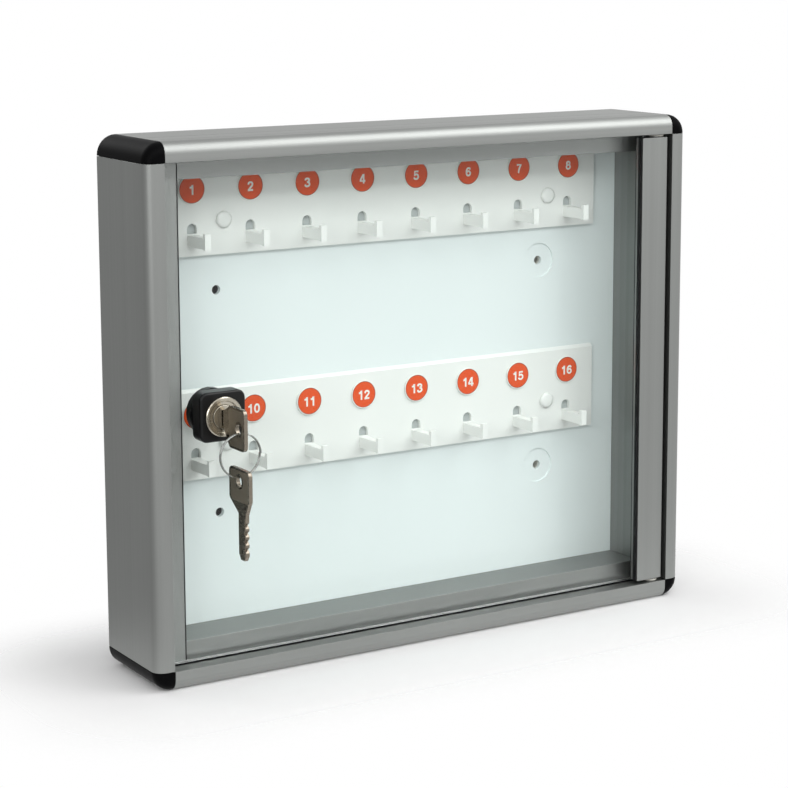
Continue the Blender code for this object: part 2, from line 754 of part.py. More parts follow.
def add_strip_rivets(material):
    """Add the push rivets that hold the strips to the panel."""
    head_back = -SEAT
    stem_end = STRIP_THICKNESS + SEAT + PANEL_THICKNESS + SEAT
    profile = [
        (0, head_back - RIVET_HEAD_THICKNESS),
        (RIVET_CROWN_RADIUS, head_back - RIVET_HEAD_THICKNESS),
        (RIVET_HEAD_RADIUS, head_back - RIVET_RIM),
        (RIVET_HEAD_RADIUS, head_back),
        (RIVET_STEM_RADIUS, head_back),
        (RIVET_STEM_RADIUS, stem_end),
        (RIVET_COLLAR_RADIUS, stem_end),
        (RIVET_COLLAR_RADIUS, stem_end + RIVET_COLLAR_THICKNESS),
        (0, stem_end + RIVET_COLLAR_THICKNESS),
    ]
    for name, place in rivet_places().items():
        rivet = make_object(name, turned(profile, False, SMALL_STEPS))
        put(finish(rivet, material), None, place[0], STRIP_Y, place[1])


def add_number_discs(material):
    """Add the discs over the hooks: 1 to 8 on the upper strip and 9 to 16 on the lower."""
    number = 1
    front = STRIP_Y - SEAT - DISC_THICKNESS
    for strip_z in (UPPER_STRIP_Z, LOWER_STRIP_Z):
        for offset in hook_offsets():
            disc = make_object(f"number_disc_{number:02d}", rod(DISC_RADIUS, 0, DISC_THICKNESS))
            put(finish(disc, material), None, STRIP_LEFT_X + offset, front, strip_z + DISC_RISE)
            number += 1


def add_bush(name, z, turn, material):
    """Add a flanged hinge bush, its flange against the rebate wall."""
    bore = PIN_RADIUS + FIT
    flange_end = SEAT + BUSH_FLANGE_THICKNESS
    profile = [
        (bore, -SECTION_WALL - BUSH_TAIL),
        (BUSH_RADIUS, -SECTION_WALL - BUSH_TAIL),
        (BUSH_RADIUS, SEAT),
        (BUSH_FLANGE_RADIUS, SEAT),
        (BUSH_FLANGE_RADIUS, flange_end),
        (bore, flange_end),
    ]
    shape = turned(profile, True, ROUND_STEPS)
    stand(shape, ALONG_X, ALONG_Z, ALONG_Y)
    put(finish(make_object(name, shape), material), None, PIVOT_X, PIVOT_Y, z, turn)


def add_pin(name, z, turn, carrier, material):
    """Add a hinge pin, from the bush's tail into the stile."""
    shape = rod(PIN_RADIUS, -SECTION_WALL - BUSH_TAIL, DOOR_GAP + PIN_GRIP, SMALL_STEPS)
    stand(shape, ALONG_X, ALONG_Z, ALONG_Y)
    put(finish(make_object(name, shape), material), carrier, PIVOT_X, PIVOT_Y, z, turn)


def add_stop_strip(material):
    """Add the flat strip on the left section, full height between the lips."""
    start = LIP_WIDTH + SEAT
    high = (STOP_WIDTH, REBATE_DEPTH - GLASS_BACK_Y - 2 * SEAT, CASE_HEIGHT - 2 * start)
    strip = make_object("stop_strip", box((0, 0, 0), high))
    put(finish(strip, material), None, start, GLASS_BACK_Y + SEAT, start)


def stile_outline():
    """Return the hinge stile's section about its pivot, with the slot for the glass."""
    left = -STILE_WIDTH + PIVOT_INSET
    right = PIVOT_INSET
    front = -PIVOT_INSET
    back = STILE_DEPTH - PIVOT_INSET
    room = GASKET_THICKNESS + 2 * FIT
    slot_front = GLASS_Y - PIVOT_Y - room
    slot_back = GLASS_BACK_Y - PIVOT_Y + room
    slot_end = left + GLASS_GRIP + room
    heel = (right - STILE_HEEL_RADIUS, back - STILE_HEEL_RADIUS)
    nose = (right - STILE_NOSE_RADIUS, front + STILE_NOSE_RADIUS)
    points = [(left, front)]
    points += round_off(nose, STILE_NOSE_RADIUS, -QUARTER, QUARTER)
    points += round_off(heel, STILE_HEEL_RADIUS, 0, QUARTER)
    points.append((left, back))
    points.append((left, slot_back))
    points.append((slot_end, slot_back))
    points.append((slot_end, slot_front))
    points.append((left, slot_front))
    return points


def add_stile(carrier, material):
    """Add the hinge stile with a bore for a pin in each end."""
    shape = prism(stile_outline(), (), DOOR_HEIGHT, ALONG_X, ALONG_Y, ALONG_Z)
    stile = make_object("hinge_stile", shape)
    depth = PIN_GRIP + SEAT
    for start in (-OVERRUN, DOOR_HEIGHT - depth):
        bore = rod(PIN_RADIUS + FIT, start, start + depth + OVERRUN, SMALL_STEPS)
        stand(bore, ALONG_X, ALONG_Z, ALONG_Y)
        combine(stile, bore, "DIFFERENCE")
    put(finish(stile, material), carrier, PIVOT_X, PIVOT_Y, DOOR_BOTTOM_Z)


def add_gasket(carrier, material):
    """Add the gasket round the glass edge, with beads along the stile's left side."""
    inner_front = GLASS_Y - FIT
    inner_back = GLASS_BACK_Y + FIT
    outer_front = inner_front - GASKET_THICKNESS
    outer_back = inner_back + GASKET_THICKNESS
    inner_end = GLASS_RIGHT_X + FIT
    outer_end = inner_end + GASKET_THICKNESS
    bead_right = STILE_LEFT_X - SEAT
    bead_left = bead_right - BEAD_WIDTH
    outline = [
        (bead_left, outer_front - FRONT_BEAD_RISE),
        (bead_right, outer_front - FRONT_BEAD_RISE),
        (bead_right, outer_front),
        (outer_end, outer_front),
        (outer_end, outer_back),
        (bead_right, outer_back),
        (bead_right, outer_back + REAR_BEAD_RISE),
        (bead_left, outer_back + REAR_BEAD_RISE),
        (bead_left, inner_back),
        (inner_end, inner_back),
        (inner_end, inner_front),
        (bead_left, inner_front),
    ]
    gasket = make_object("stile_gasket", prism(outline, (), DOOR_HEIGHT, ALONG_X, ALONG_Y, ALONG_Z))
    put(finish(gasket, material), carrier, 0, 0, DOOR_BOTTOM_Z)


def add_glass(carrier, material):
    """Add the door's glass with the hole for the lock."""
    bottom = LIP_WIDTH + GLASS_GAP
    width = GLASS_RIGHT_X - DOOR_LEFT_X
    lock = (LOCK_X - DOOR_LEFT_X, LOCK_Z - bottom)
    outline = rectangle(0, 0, width, CASE_HEIGHT - 2 * bottom)
    hole = circle(lock, BARREL_RADIUS + SEAT)
    pane = make_object(
        "glass_pane", prism(outline, [hole], GLASS_THICKNESS, ALONG_X, ALONG_Z, ALONG_Y)
    )
    put(finish(pane, material), carrier, DOOR_LEFT_X, GLASS_Y, bottom)


def add_hinge(door, materials):
    """Add the bushes in the frame and the pins in the stile."""
    top = CASE_HEIGHT - LIP_WIDTH
    upside_down = (2 * QUARTER, 0, 0)
    add_bush("hinge_bush_bottom", LIP_WIDTH, (0, 0, 0), materials["nylon"])
    add_bush("hinge_bush_top", top, upside_down, materials["nylon"])
    add_pin("hinge_pin_bottom", LIP_WIDTH, (0, 0, 0), door, materials["steel"])
    add_pin("hinge_pin_top", top, upside_down, door, materials["steel"])


def is_front_rim(edge):
    """Tell whether an edge runs round the outside of the housing's front face."""
    at_front = all(abs(vertex.co.y) < WELD for vertex in edge.verts)
    outside = all(math.hypot(vertex.co.x, vertex.co.z) > HEAD_RADIUS for vertex in edge.verts)
    return at_front and outside and edge.calc_face_angle() > SMOOTH_ANGLE


def add_housing(carrier, material):
    """Add the square lock housing on the front of the glass."""
    half = HOUSING_WIDTH / 2
    inset = half - HOUSING_CORNER_RADIUS
    outline = []
    for index, (x, z) in enumerate(rectangle(-inset, -inset, inset, inset)):
        outline += round_off((x, z), HOUSING_CORNER_RADIUS, QUARTER * (index + 2), QUARTER)
    hole = circle((0, 0), BARREL_RADIUS + SEAT)
    shape = prism(outline, [hole], HOUSING_DEPTH, ALONG_X, ALONG_Z, ALONG_Y)
    rim = [edge for edge in shape.edges if is_front_rim(edge)]
    bmesh.ops.bevel(
        shape,
        geom=rim,
        offset=HOUSING_EDGE,
        segments=BEVEL_STEPS,
        profile=0.5,
        affect="EDGES",
        material=-1,
    )
    put(finish(make_object("lock_housing", shape), material), carrier, LOCK_X, HOUSING_FRONT_Y, LOCK_Z)


def add_cylinder(carrier, material):
    """Add the lock cylinder: a rimmed head in front and a barrel through the glass."""
    bore = PLUG_RADIUS + FIT
    rim = HEAD_RADIUS - HEAD_RIM
    profile = [
        (bore, RECESS_Y),
        (rim, RECESS_Y),
        (rim + HEAD_CHAMFER, HEAD_FRONT_Y),
        (HEAD_RADIUS - HEAD_CHAMFER, HEAD_FRONT_Y),
        (HEAD_RADIUS, HEAD_FRONT_Y + HEAD_CHAMFER),
        (HEAD_RADIUS, HEAD_BACK_Y),
        (BARREL_RADIUS, HEAD_BACK_Y),
        (BARREL_RADIUS, BARREL_BACK_Y),
        (bore, BARREL_BACK_Y),
    ]
    cylinder = make_object("lock_cylinder", turned(profile, True, FINE_STEPS))
    put(finish(cylinder, material), carrier, LOCK_X, 0, LOCK_Z)


def add_nut(carrier, material):
    """Add the round nut that clamps the lock from behind the glass."""
    start = GLASS_BACK_Y + SEAT
    nut = make_object("rear_nut", tube(BARREL_RADIUS + SEAT, NUT_RADIUS, start, start + NUT_THICKNESS))
    put(finish(nut, material), carrier, LOCK_X, 0, LOCK_Z)


def add_plug(carrier, material):
    """Add the turning plug with its keyway, square tail and screw hole."""
    plug = make_object("lock_plug", rod(PLUG_RADIUS, PLUG_FRONT_Y, PLUG_BACK_Y, FINE_STEPS))
    half = TAIL_WIDTH / 2
    root = PLUG_BACK_Y - SEAT
    combine(plug, box((-half, root, -half), (half, TAIL_END_Y, half)), "UNION")
    slot = KEY_THICKNESS / 2 + SEAT
    low = -BLADE_DROP - BLADE_WIDTH / 2 - SEAT
    high = -BLADE_DROP + BLADE_WIDTH / 2 + SEAT
    keyway_end = KEY_TIP_Y + KEYWAY_END_GAP
    keyway = box((-slot, PLUG_FRONT_Y - OVERRUN, low), (slot, keyway_end, high))
    combine(plug, keyway, "DIFFERENCE")
    shank_tip = SCREW_HEAD_Y - SCREW_SHANK_LENGTH - SEAT
    bore = rod(SCREW_SHANK_RADIUS + SEAT, shank_tip, TAIL_END_Y + OVERRUN, SMALL_STEPS)
    combine(plug, bore, "DIFFERENCE")
    put(finish(plug, material), carrier, LOCK_X, 0, LOCK_Z)


def add_cam(carrier, material):
    """Add the cam on the plug's tail, pointing right at rest, and the screw that holds it."""
    half = CAM_WIDTH / 2
    outline = round_off((0, 0), half, QUARTER, math.pi)
    outline += round_off((CAM_REACH - half, 0), half, -QUARTER, math.pi)
    square = TAIL_WIDTH / 2 + FIT
    hole = rectangle(-square, -square, square, square)
    cam = make_object("lock_cam", prism(outline, [hole], CAM_THICKNESS, ALONG_X, ALONG_Z, ALONG_Y))
    put(finish(cam, material), carrier, LOCK_X, CAM_FRONT_Y, LOCK_Z)
    tip = SCREW_HEAD_Y - SCREW_SHANK_LENGTH
    profile = [
        (0, tip),
        (SCREW_SHANK_RADIUS, tip),
        (SCREW_SHANK_RADIUS, SCREW_HEAD_Y),
        (SCREW_HEAD_RADIUS, SCREW_HEAD_Y),
        (SCREW_HEAD_RADIUS, SCREW_HEAD_Y + SCREW_HEAD_THICKNESS),
        (0, SCREW_HEAD_Y + SCREW_HEAD_THICKNESS),
    ]
    screw = make_object("cam_screw", turned(profile, False, SMALL_STEPS))
    put(finish(screw, material), carrier, LOCK_X, 0, LOCK_Z)


def key_outline():
    """Return a key's outline as (distance from the far edge, height) about the blade's middle."""
    top = BOW_WIDTH / 2 - BOW_DROP
    bottom = -BOW_WIDTH / 2 - BOW_DROP
    radius = BOW_RADIUS
    blade = BLADE_WIDTH / 2
    points = round_off((radius, bottom + radius), radius, math.pi, QUARTER)
    points += round_off((BOW_LENGTH - radius, bottom + radius), radius, -QUARTER, QUARTER / 2)
    points.append((KEY_SHOULDER, -blade))
    points.append((KEY_LENGTH - BLADE_TIP, -blade))
    points.append((KEY_LENGTH, -blade / 2))
    points.append((KEY_LENGTH, blade / 2))
    points.append((KEY_LENGTH - BLADE_TIP, blade))
    for index in reversed(range(NOTCH_COUNT)):
        middle = KEY_SHOULDER + NOTCH_FIRST + NOTCH_PITCH * index
        points.append((middle + NOTCH_WIDTH / 2, blade))
        points.append((middle, blade - NOTCH_DEPTH))
        points.append((middle - NOTCH_WIDTH / 2, blade))
    points.append((KEY_SHOULDER, blade))
    points += round_off((BOW_LENGTH - radius, top - radius), radius, QUARTER / 2, QUARTER / 2)
    points += round_off((radius, top - radius), radius, QUARTER, QUARTER)
    return points


def key_shape():
    """Return a flat key with its blade along Y and its notches up, in the plane x = 0."""
    hole = circle((BOW_HOLE_INSET, -BOW_DROP), BOW_HOLE_RADIUS)
    shape = prism(key_outline(), [hole], KEY_THICKNESS, ALONG_Y, ALONG_Z, ALONG_X)
    return shift(shape, -KEY_THICKNESS / 2, 0, 0)


def ring_shape():
    """Return the key ring, a plain round wire loop about the Y axis."""
    loop = circle((RING_RADIUS, 0), RING_WIRE_RADIUS, WIRE_STEPS)
    return turned(loop, True, FINE_STEPS)


def add_keys(core, material):
    """Add the key in the lock, the ring through its bow and the spare key on the ring."""
    key_axis = make_axis("key_slide", core, LOCK_X, KEY_FAR_Y, LOCK_Z)
    key = finish(make_object("key_in_lock", key_shape()), material)
    put(key, key_axis, LOCK_X, KEY_FAR_Y, BLADE_Z)
    ring_axis = make_axis("ring_swing_axis", key_axis, LOCK_X, RING_Y, RING_TOP_Z)
    ring = finish(make_object("key_ring", ring_shape()), material)
    put(ring, ring_axis, LOCK_X, RING_Y, RING_Z)
    spare_axis = make_axis("spare_hang_axis", ring_axis, LOCK_X, RING_Y, RING_Z)
    spare = duplicate(key, "spare_key")
    put(spare, spare_axis, LOCK_X, RING_Y - BOW_DROP, SPARE_FAR_Z)
    spare.rotation_euler = (Matrix.Rotation(-QUARTER, 3, "X") @ Matrix.Rotation(math.pi, 3, "Y")).to_euler()


def add_door(materials):
    """Add the door and everything that turns with it."""
    door = make_axis("door_hinge_axis", None, PIVOT_X, PIVOT_Y, DOOR_BOTTOM_Z)
    add_stile(door, materials["anodised"])
    add_gasket(door, materials["gasket"])
    add_glass(door, materials["glass"])
    add_hinge(door, materials)
    add_housing(door, materials["housing"])
    add_cylinder(door, materials["nickel"])
    add_nut(door, materials["housing"])
    core = make_axis("lock_axis", door, LOCK_X, PLUG_FRONT_Y, LOCK_Z)
    add_plug(core, materials["nickel"])
    add_cam(core, materials["steel"])
    add_keys(core, materials["key"])


def main():
    """Build the whole cabinet."""
    clear_scene()
    materials = make_materials()
    add_frame(materials["anodised"])
    add_corner_caps(materials["cap"])
    add_back_panel(materials["panel"])
    add_wall_spacers(materials["dark_spacer"], materials["light_spacer"])
    add_strips(materials["strip"])
    add_strip_rivets(materials["strip"])
    add_number_discs(materials["disc"])
    add_stop_strip(materials["anodised"])
    add_door(materials)


main()
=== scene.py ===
"""Dress a glazed key cabinet: finishes, fine shapes, numbered discs, studio and camera.

All lengths are in metres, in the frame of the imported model: x to the right along the
front, y from the door to the wall and z up, with zero in the middle of the bottom face.
"""

import json
import math

import bmesh
import bpy
from bpy.props import FloatProperty, FloatVectorProperty, IntProperty, PointerProperty
from mathutils import Matrix, Vector


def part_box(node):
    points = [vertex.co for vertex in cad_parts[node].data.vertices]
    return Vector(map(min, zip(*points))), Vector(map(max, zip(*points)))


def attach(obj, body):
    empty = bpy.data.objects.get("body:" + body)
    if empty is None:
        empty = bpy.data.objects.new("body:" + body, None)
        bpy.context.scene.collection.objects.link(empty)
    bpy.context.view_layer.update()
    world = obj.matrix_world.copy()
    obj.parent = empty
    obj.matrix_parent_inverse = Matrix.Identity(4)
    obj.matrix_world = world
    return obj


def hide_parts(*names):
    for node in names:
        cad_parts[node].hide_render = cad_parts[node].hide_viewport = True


bl_info = {
    "name": "Key Cabinet Dresser",
    "version": (1, 0, 0),
    "blender": (4, 5, 0),
    "location": "3D View > Sidebar > Key Cabinet",
    "description": "Builds the visible pieces, finishes and studio of a glazed key cabinet",
    "category": "Object",
}

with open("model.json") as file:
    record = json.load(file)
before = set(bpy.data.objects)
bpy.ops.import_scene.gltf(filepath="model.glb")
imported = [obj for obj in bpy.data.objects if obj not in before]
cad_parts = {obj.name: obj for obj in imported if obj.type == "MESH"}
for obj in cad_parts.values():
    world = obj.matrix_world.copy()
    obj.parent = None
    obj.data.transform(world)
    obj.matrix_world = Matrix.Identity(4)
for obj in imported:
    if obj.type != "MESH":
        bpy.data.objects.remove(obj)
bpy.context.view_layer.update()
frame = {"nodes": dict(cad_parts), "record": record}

# Meshes: welding distance, and the angles that count as flat, smooth, rounded and crowned
MERGE_DISTANCE = 0.000002
FLAT_ANGLE = math.radians(0.5)
SMOOTH_ANGLE = math.radians(35)
BEVEL_ANGLE = math.radians(48)
CROWN_ANGLE = math.radians(80)
EDGE_SEGMENTS = 2

# Split ring: sides of its wire, steps in a turn and turns
WIRE_SEGMENTS = 12
RING_STEPS = 64
RING_TURNS = 2

# Outer grooves of the upright sections: depth in the solid, and the y that they start from
GROOVE_DEPTH = 0.0005
GROOVE_FROM = -0.022

# How deep the dark strips sit in the metal; they paint the shadow in the gaps round the glass
SHADOW_STRIP_BED = 0.0001

# How square a face has to stand to count as a key's flat side, or as the glass's face
KEY_FLAT = 0.9
GLASS_FACE = 0.5

# Painted shade on the panel behind a strip, and the width of its soft edge
COVER_SHADE = 0.6
COVER_FADE = 0.004

# Floor: its two greys, and its own light to the eye and to a mirror
FLOOR_TONES = (0.71, 0.73)
FLOOR_GLOW = 0.04
FLOOR_SHEEN = 0.4

# Studio: the way to its bright side, and where the change from dim to bright starts and ends
BRIGHT_SIDE = Vector((0.8, -0.45, 0.4))
DIM_UP_TO = -0.9
BRIGHT_FROM = 0.6
WHITE = (1.0, 1.0, 1.0, 1.0)

# Lights: place, width, depth, and the setting that holds the power; all face one point
LIGHT_TARGET = (0, 0, 0.15)
LIGHTS = {
    "top_light": ((0.74, -0.6, 1.15), 0.7, 1.2, "top_power"),
    "front_light": ((-0.25, -1.45, 1.4), 2.4, 0.7, "front_power"),
    "side_light": ((-1.4, -1.0, 0.6), 0.8, 0.8, "side_power"),
    "back_light": ((-0.7, 1.4, 1.1), 1.4, 0.7, "back_power"),
}

# Camera: what it sees, from near to far
CLIP_START = 0.05
CLIP_END = 50

# How strongly the glass bends light, and how rough its ground edge is
GLASS_IOR = 1.25
GROUND_ROUGH = 0.35

# Least roughness of the aluminium and of the panel
ALUMINIUM_ROUGH = 0.38
SHEET_ROUGH = 0.16

# Moulded surfaces: roughness, scale and height of the grain, tone change and gloss
PLASTICS = {
    "cap_plastic": (0.4, 2600.0, 0.000012, 0.12, 0.02),
    "spacer_dark": (0.5, 1800.0, 0.00002, 0.1, 0.5),
    "spacer_light": (0.5, 1800.0, 0.00002, 0.05, 0.5),
    "strip_plastic": (0.3, 900.0, 0.00001, 0.015, 0.5),
    "bush_nylon": (0.45, 1600.0, 0.00001, 0.04, 0.5),
    "housing_plastic": (0.3, 2200.0, 0.000012, 0.1, 0.25),
    # The next entry's dark strips paint the shadow in the gaps round the glass
    "seal_rubber": (0.6, 1500.0, 0.00002, 0.15, 0.05),
    "gasket_rubber": (0.55, 1500.0, 0.00002, 0.15, 0.2),
}

# Plated surfaces: roughness, scale of the scratches and their height
METALS = {
    "pin_steel": (0.28, 900.0, 0.000008),
    "cam_steel": (0.3, 900.0, 0.000008),
    "lock_nickel": (0.16, 700.0, 0.000008),
    "key_metal": (0.2, 800.0, 0.00001),
    "key_field": (0.42, 1600.0, 0.00003),
    "ring_steel": (0.14, 900.0, 0.000006),
}

# Printed surfaces: roughness
INKS = {"disc_rim": 0.35, "disc_face": 0.32, "disc_line": 0.32, "disc_number": 0.4}
INK_GLOSS = 0.2

UPRIGHT_SECTIONS = ("frame_left", "frame_right")
LEVEL_SECTIONS = ("frame_top", "frame_bottom")
CAPS = ("bottom_left", "top_left", "top_right", "bottom_right")
SIDES = ("upper_left", "lower_left", "upper_right", "lower_right")
STRIPS = ("hook_strip_upper", "hook_strip_lower")
DISC_COUNT = 16

# Share of a disc's thickness that its face drops and its digits rise
DISC_RELIEF = 0.125

# Digits as strokes one unit high: (x, y, smooth) points, and whether the stroke is closed
DIGIT_ADVANCE = 0.76
STROKE_STEPS = 5
RIGHT, LEFT, MIDDLE = 0.62, 0.13, 0.38
TOP, BASE = 0.9, 0.1
DIGITS = {
    "0": ((((MIDDLE, TOP, 1), (RIGHT, 0.5, 1), (MIDDLE, BASE, 1), (LEFT, 0.5, 1)), True),),
    "1": (
        (((0.45, 1.0, 0), (0.45, 0.0, 0)), False),
        (((0.14, 0.72, 0), (0.32, 0.77, 1), (0.43, 0.93, 0)), False),
    ),
    "2": (
        (((LEFT, 0.66, 1), (0.2, 0.85, 1), (MIDDLE, TOP, 1), (0.57, 0.82, 1), (0.58, 0.6, 1),
          (0.4, 0.4, 1), (0.16, 0.12, 0)), False),
        (((0.06, BASE, 0), (0.66, BASE, 0)), False),
    ),
    "3": (
        (((LEFT, 0.71, 1), (0.2, 0.86, 1), (MIDDLE, TOP, 1), (0.57, 0.82, 1), (0.57, 0.64, 1),
          (0.34, 0.54, 0)), False),
        (((0.34, 0.54, 0), (0.58, 0.45, 1), (0.6, 0.22, 1), (MIDDLE, BASE, 1), (0.18, 0.14, 1),
          (0.11, 0.3, 1)), False),
    ),
    "4": (
        (((0.5, 0.0, 0), (0.5, 1.0, 0)), False),
        (((0.44, 0.93, 0), (0.11, 0.36, 0), (0.11, 0.27, 0), (0.7, 0.27, 0)), False),
    ),
    "5": (
        (((0.64, TOP, 0), (0.2, TOP, 0), (0.15, 0.5, 0), (0.3, 0.59, 1), (0.54, 0.54, 1),
          (RIGHT, 0.34, 1), (0.54, 0.15, 1), (0.34, BASE, 1), (0.17, 0.15, 1), (0.11, 0.28, 1)), False),
    ),
    "6": (
        (((MIDDLE, 0.57, 1), (RIGHT, 0.33, 1), (MIDDLE, BASE, 1), (0.14, 0.33, 1)), True),
        (((0.61, 0.73, 1), (0.53, 0.87, 1), (0.37, TOP, 1), (0.17, 0.72, 1), (LEFT, 0.33, 1)), False),
    ),
    "7": ((((0.09, TOP, 0), (0.64, TOP, 0), (0.42, 0.52, 1), (0.3, 0.0, 0)), False),),
    "8": (
        (((MIDDLE, TOP, 1), (0.58, 0.73, 1), (MIDDLE, 0.55, 1), (0.17, 0.73, 1)), True),
        (((MIDDLE, 0.55, 1), (RIGHT, 0.32, 1), (MIDDLE, BASE, 1), (LEFT, 0.32, 1)), True),
    ),
    "9": (
        (((MIDDLE, 0.43, 1), (LEFT, 0.67, 1), (MIDDLE, TOP, 1), (0.61, 0.67, 1)), True),
        (((0.15, 0.27, 1), (0.23, 0.13, 1), (0.39, BASE, 1), (0.59, 0.28, 1), (RIGHT, 0.67, 1)), False),
    ),
}


def srgb(red, green, blue):
    """Return a shader colour for sRGB bytes."""
    levels = []
    for byte in (red, green, blue):
        share = byte / 255
        levels.append(share / 12.92 if share <= 0.04045 else ((share + 0.055) / 1.055) ** 2.4)
    return (*levels, 1.0)


def shaded(colour, share):
    """Return a colour made darker or lighter, at most white."""
    return (*[min(level * share, 1.0) for level in colour[:3]], 1.0)


class Value:
    """A socket of a shader tree that takes part in Python arithmetic."""

    def __init__(self, recipe, socket):
        self.recipe = recipe
        self.socket = socket

    def maths(self, operation, first, second=0.0):
        """Return the result of a maths node."""
        return self.recipe.node("ShaderNodeMath", {"operation": operation}, {0: first, 1: second})

    def __add__(self, other):
        return self.maths("ADD", self, other)

    def __radd__(self, other):
        return self.maths("ADD", other, self)

    def __sub__(self, other):
        return self.maths("SUBTRACT", self, other)

    def __mul__(self, other):
        return self.maths("MULTIPLY", self, other)


class Recipe:
    """A node tree that is written as Python."""

    def __init__(self, tree):
        self.tree = tree
        self.tree.nodes.clear()

    def node(self, kind, settings=None, values=None, output=0):
        """Add one node, set it, fill or link its sockets and return one of its outputs."""
        made = self.tree.nodes.new(kind)
        for name, setting in (settings or {}).items():
            setattr(made, name, setting)
        for name, value in (values or {}).items():
            if isinstance(value, Value):
                self.tree.links.new(value.socket, made.inputs[name])
            else:
                made.inputs[name].default_value = value
        return Value(self, made.outputs[output]) if made.outputs else None

    def own(self):
        """Return the object's own coordinates."""
        return self.node("ShaderNodeTexCoord", output="Object")

    def place(self, scale=(1, 1, 1)):
        """Return the object's own coordinates, stretched."""
        values = {"Vector": self.own(), "Scale": scale}
        return self.node("ShaderNodeMapping", {}, values)

    def noise(self, place, scale, detail=3.0, roughness=0.5):
        """Return a noise value from 0 to 1."""
        values = {"Vector": place, "Scale": scale, "Detail": detail, "Roughness": roughness}
        return self.node("ShaderNodeTexNoise", {}, values)

    def span(self, value, start, end, levels=(0.0, 1.0), soft=False):
        """Return a value run from one level to another between a start and an end."""
        values = {"Value": value, "From Min": start, "From Max": end}
        values.update({"To Min": levels[0], "To Max": levels[1]})
        kind = "SMOOTHSTEP" if soft else "LINEAR"
        return self.node("ShaderNodeMapRange", {"interpolation_type": kind}, values)

    def along(self, place, axis):
        """Return one coordinate of a place."""
        return self.node("ShaderNodeSeparateXYZ", {}, {0: place}, output=axis)

    def ray(self, kind):
        """Return 1 for one kind of ray and 0 for the rest."""
        return self.node("ShaderNodeLightPath", output=kind)

    def blend(self, factor, first, second):
        """Return a mix of two colours."""
        values = {0: factor, 6: first, 7: second}
        return self.node("ShaderNodeMix", {"data_type": "RGBA"}, values, output=2)

    def bump(self, height, distance, strength=1.0, normal=None):
        """Return a normal bent by a height."""
        values = {"Height": height, "Distance": distance, "Strength": strength}
        if normal is not None:
            values["Normal"] = normal
        return self.node("ShaderNodeBump", {}, values)

    def finish(self, shader):
        """Send a shader to the surface output."""
        self.node("ShaderNodeOutputMaterial", {}, {"Surface": shader})


def new_material(name):
    """Return an empty material and the recipe that fills it."""
    made = bpy.data.materials.new(name)
    made.use_nodes = True
    return made, Recipe(made.node_tree)


def principled(recipe, base, rough, normal, others):
    """Add a Principled surface and send it out."""
    values = {"Base Color": base, "Roughness": rough, "Normal": normal, **others}
    recipe.finish(recipe.node("ShaderNodeBsdfPrincipled", {}, values))


def anodised_aluminium(name, colour, along):
    """Satin anodised extrusion: matt grain, faint die lines along its length, soft clouding."""
    made, recipe = new_material(name)
    across_scale, along_scale = 420.0, 1.2
    stretch = [along_scale if axis == along else across_scale for axis in "xyz"]
    lines = recipe.noise(recipe.place(stretch), scale=1.0, detail=2.0, roughness=0.6)
    place = recipe.place()
    clouds = recipe.noise(place, scale=9.0, detail=2.0)
    grain = recipe.noise(place, scale=5200.0, detail=2.0, roughness=0.7)
    tone = clouds * 0.35 + lines * 0.4 + grain * 0.25
    base = recipe.blend(recipe.span(tone, 0.3, 0.7), shaded(colour, 0.9), shaded(colour, 1.08))
    rough = ALUMINIUM_ROUGH + lines * 0.08 + grain * 0.07
    fine = recipe.bump(grain, distance=0.000012, strength=0.45)
    normal = recipe.bump(lines, distance=0.00002, strength=0.35, normal=fine)
    principled(recipe, base, rough, normal, {"Metallic": 1.0})
    return made


def moulded_plastic(name, colour):
    """Moulded plastic with a fine spark-eroded grain and slight tone changes."""
    rough, grain_scale, grain_height, tone_change, gloss = PLASTICS[name]
    made, recipe = new_material(name)
    place = recipe.place()
    grain = recipe.noise(place, grain_scale, detail=3.0, roughness=0.6)
    clouds = recipe.noise(place, scale=35.0, detail=3.0)
    base = recipe.blend(clouds, shaded(colour, 1 - tone_change), shaded(colour, 1 + tone_change))
    surface_rough = rough - 0.05 + clouds * 0.06 + grain * 0.05
    normal = recipe.bump(grain, grain_height, strength=0.6)
    principled(recipe, base, surface_rough, normal, {"Specular IOR Level": gloss})
    return made


def inside(recipe, place, axis, low, high):
    """Return 1 between two levels of an axis, falling to 0 at both of them."""
    level = recipe.along(place, axis)
    away = level.maths("ABSOLUTE", level - (low + high) / 2)
    half = (high - low) / 2
    return recipe.span(away, half - COVER_FADE, half, (1.0, 0.0))


def gloss_sheet(name, colour, covered, behind):
    """Glossy white sheet with a very slight ripple, and painted shade on its front where a strip covers
    it.
    """
    made, recipe = new_material(name)
    place = recipe.place()
    ripple = recipe.noise(place, scale=14.0, detail=1.0)
    peel = recipe.noise(place, scale=420.0, detail=2.0)
    base = recipe.blend(ripple, shaded(colour, 0.985), colour)
    own = recipe.own()
    depth = recipe.along(own, "Y")
    front = depth.maths("LESS_THAN", depth, behind)
    # Painted shade: the front of the sheet is greyer behind each strip, where the strip shades it
    for low, high in covered:
        shade = inside(recipe, own, "X", low.x, high.x) * inside(recipe, own, "Z", low.z, high.z)
        base = recipe.blend(shade * front, base, shaded(colour, COVER_SHADE))
    rough = SHEET_ROUGH + peel * 0.06
    wavy = recipe.bump(ripple, distance=0.0006, strength=0.2)
    normal = recipe.bump(peel, distance=0.00001, strength=0.3, normal=wavy)
    principled(recipe, base, rough, normal, {})
    return made


def printed_face(name, colour):
    """Flat printed colour with a little unevenness in the ink."""
    made, recipe = new_material(name)
    place = recipe.place()
    ink = recipe.noise(place, scale=900.0, detail=3.0, roughness=0.6)
    patches = recipe.noise(place, scale=150.0, detail=2.0)
    base = recipe.blend(ink * 0.5 + patches * 0.5, shaded(colour, 0.93), colour)
    normal = recipe.bump(ink, distance=0.000008, strength=0.4)
    surface_rough = INKS[name] + ink * 0.08
    principled(recipe, base, surface_rough, normal, {"Specular IOR Level": INK_GLOSS})
    return made


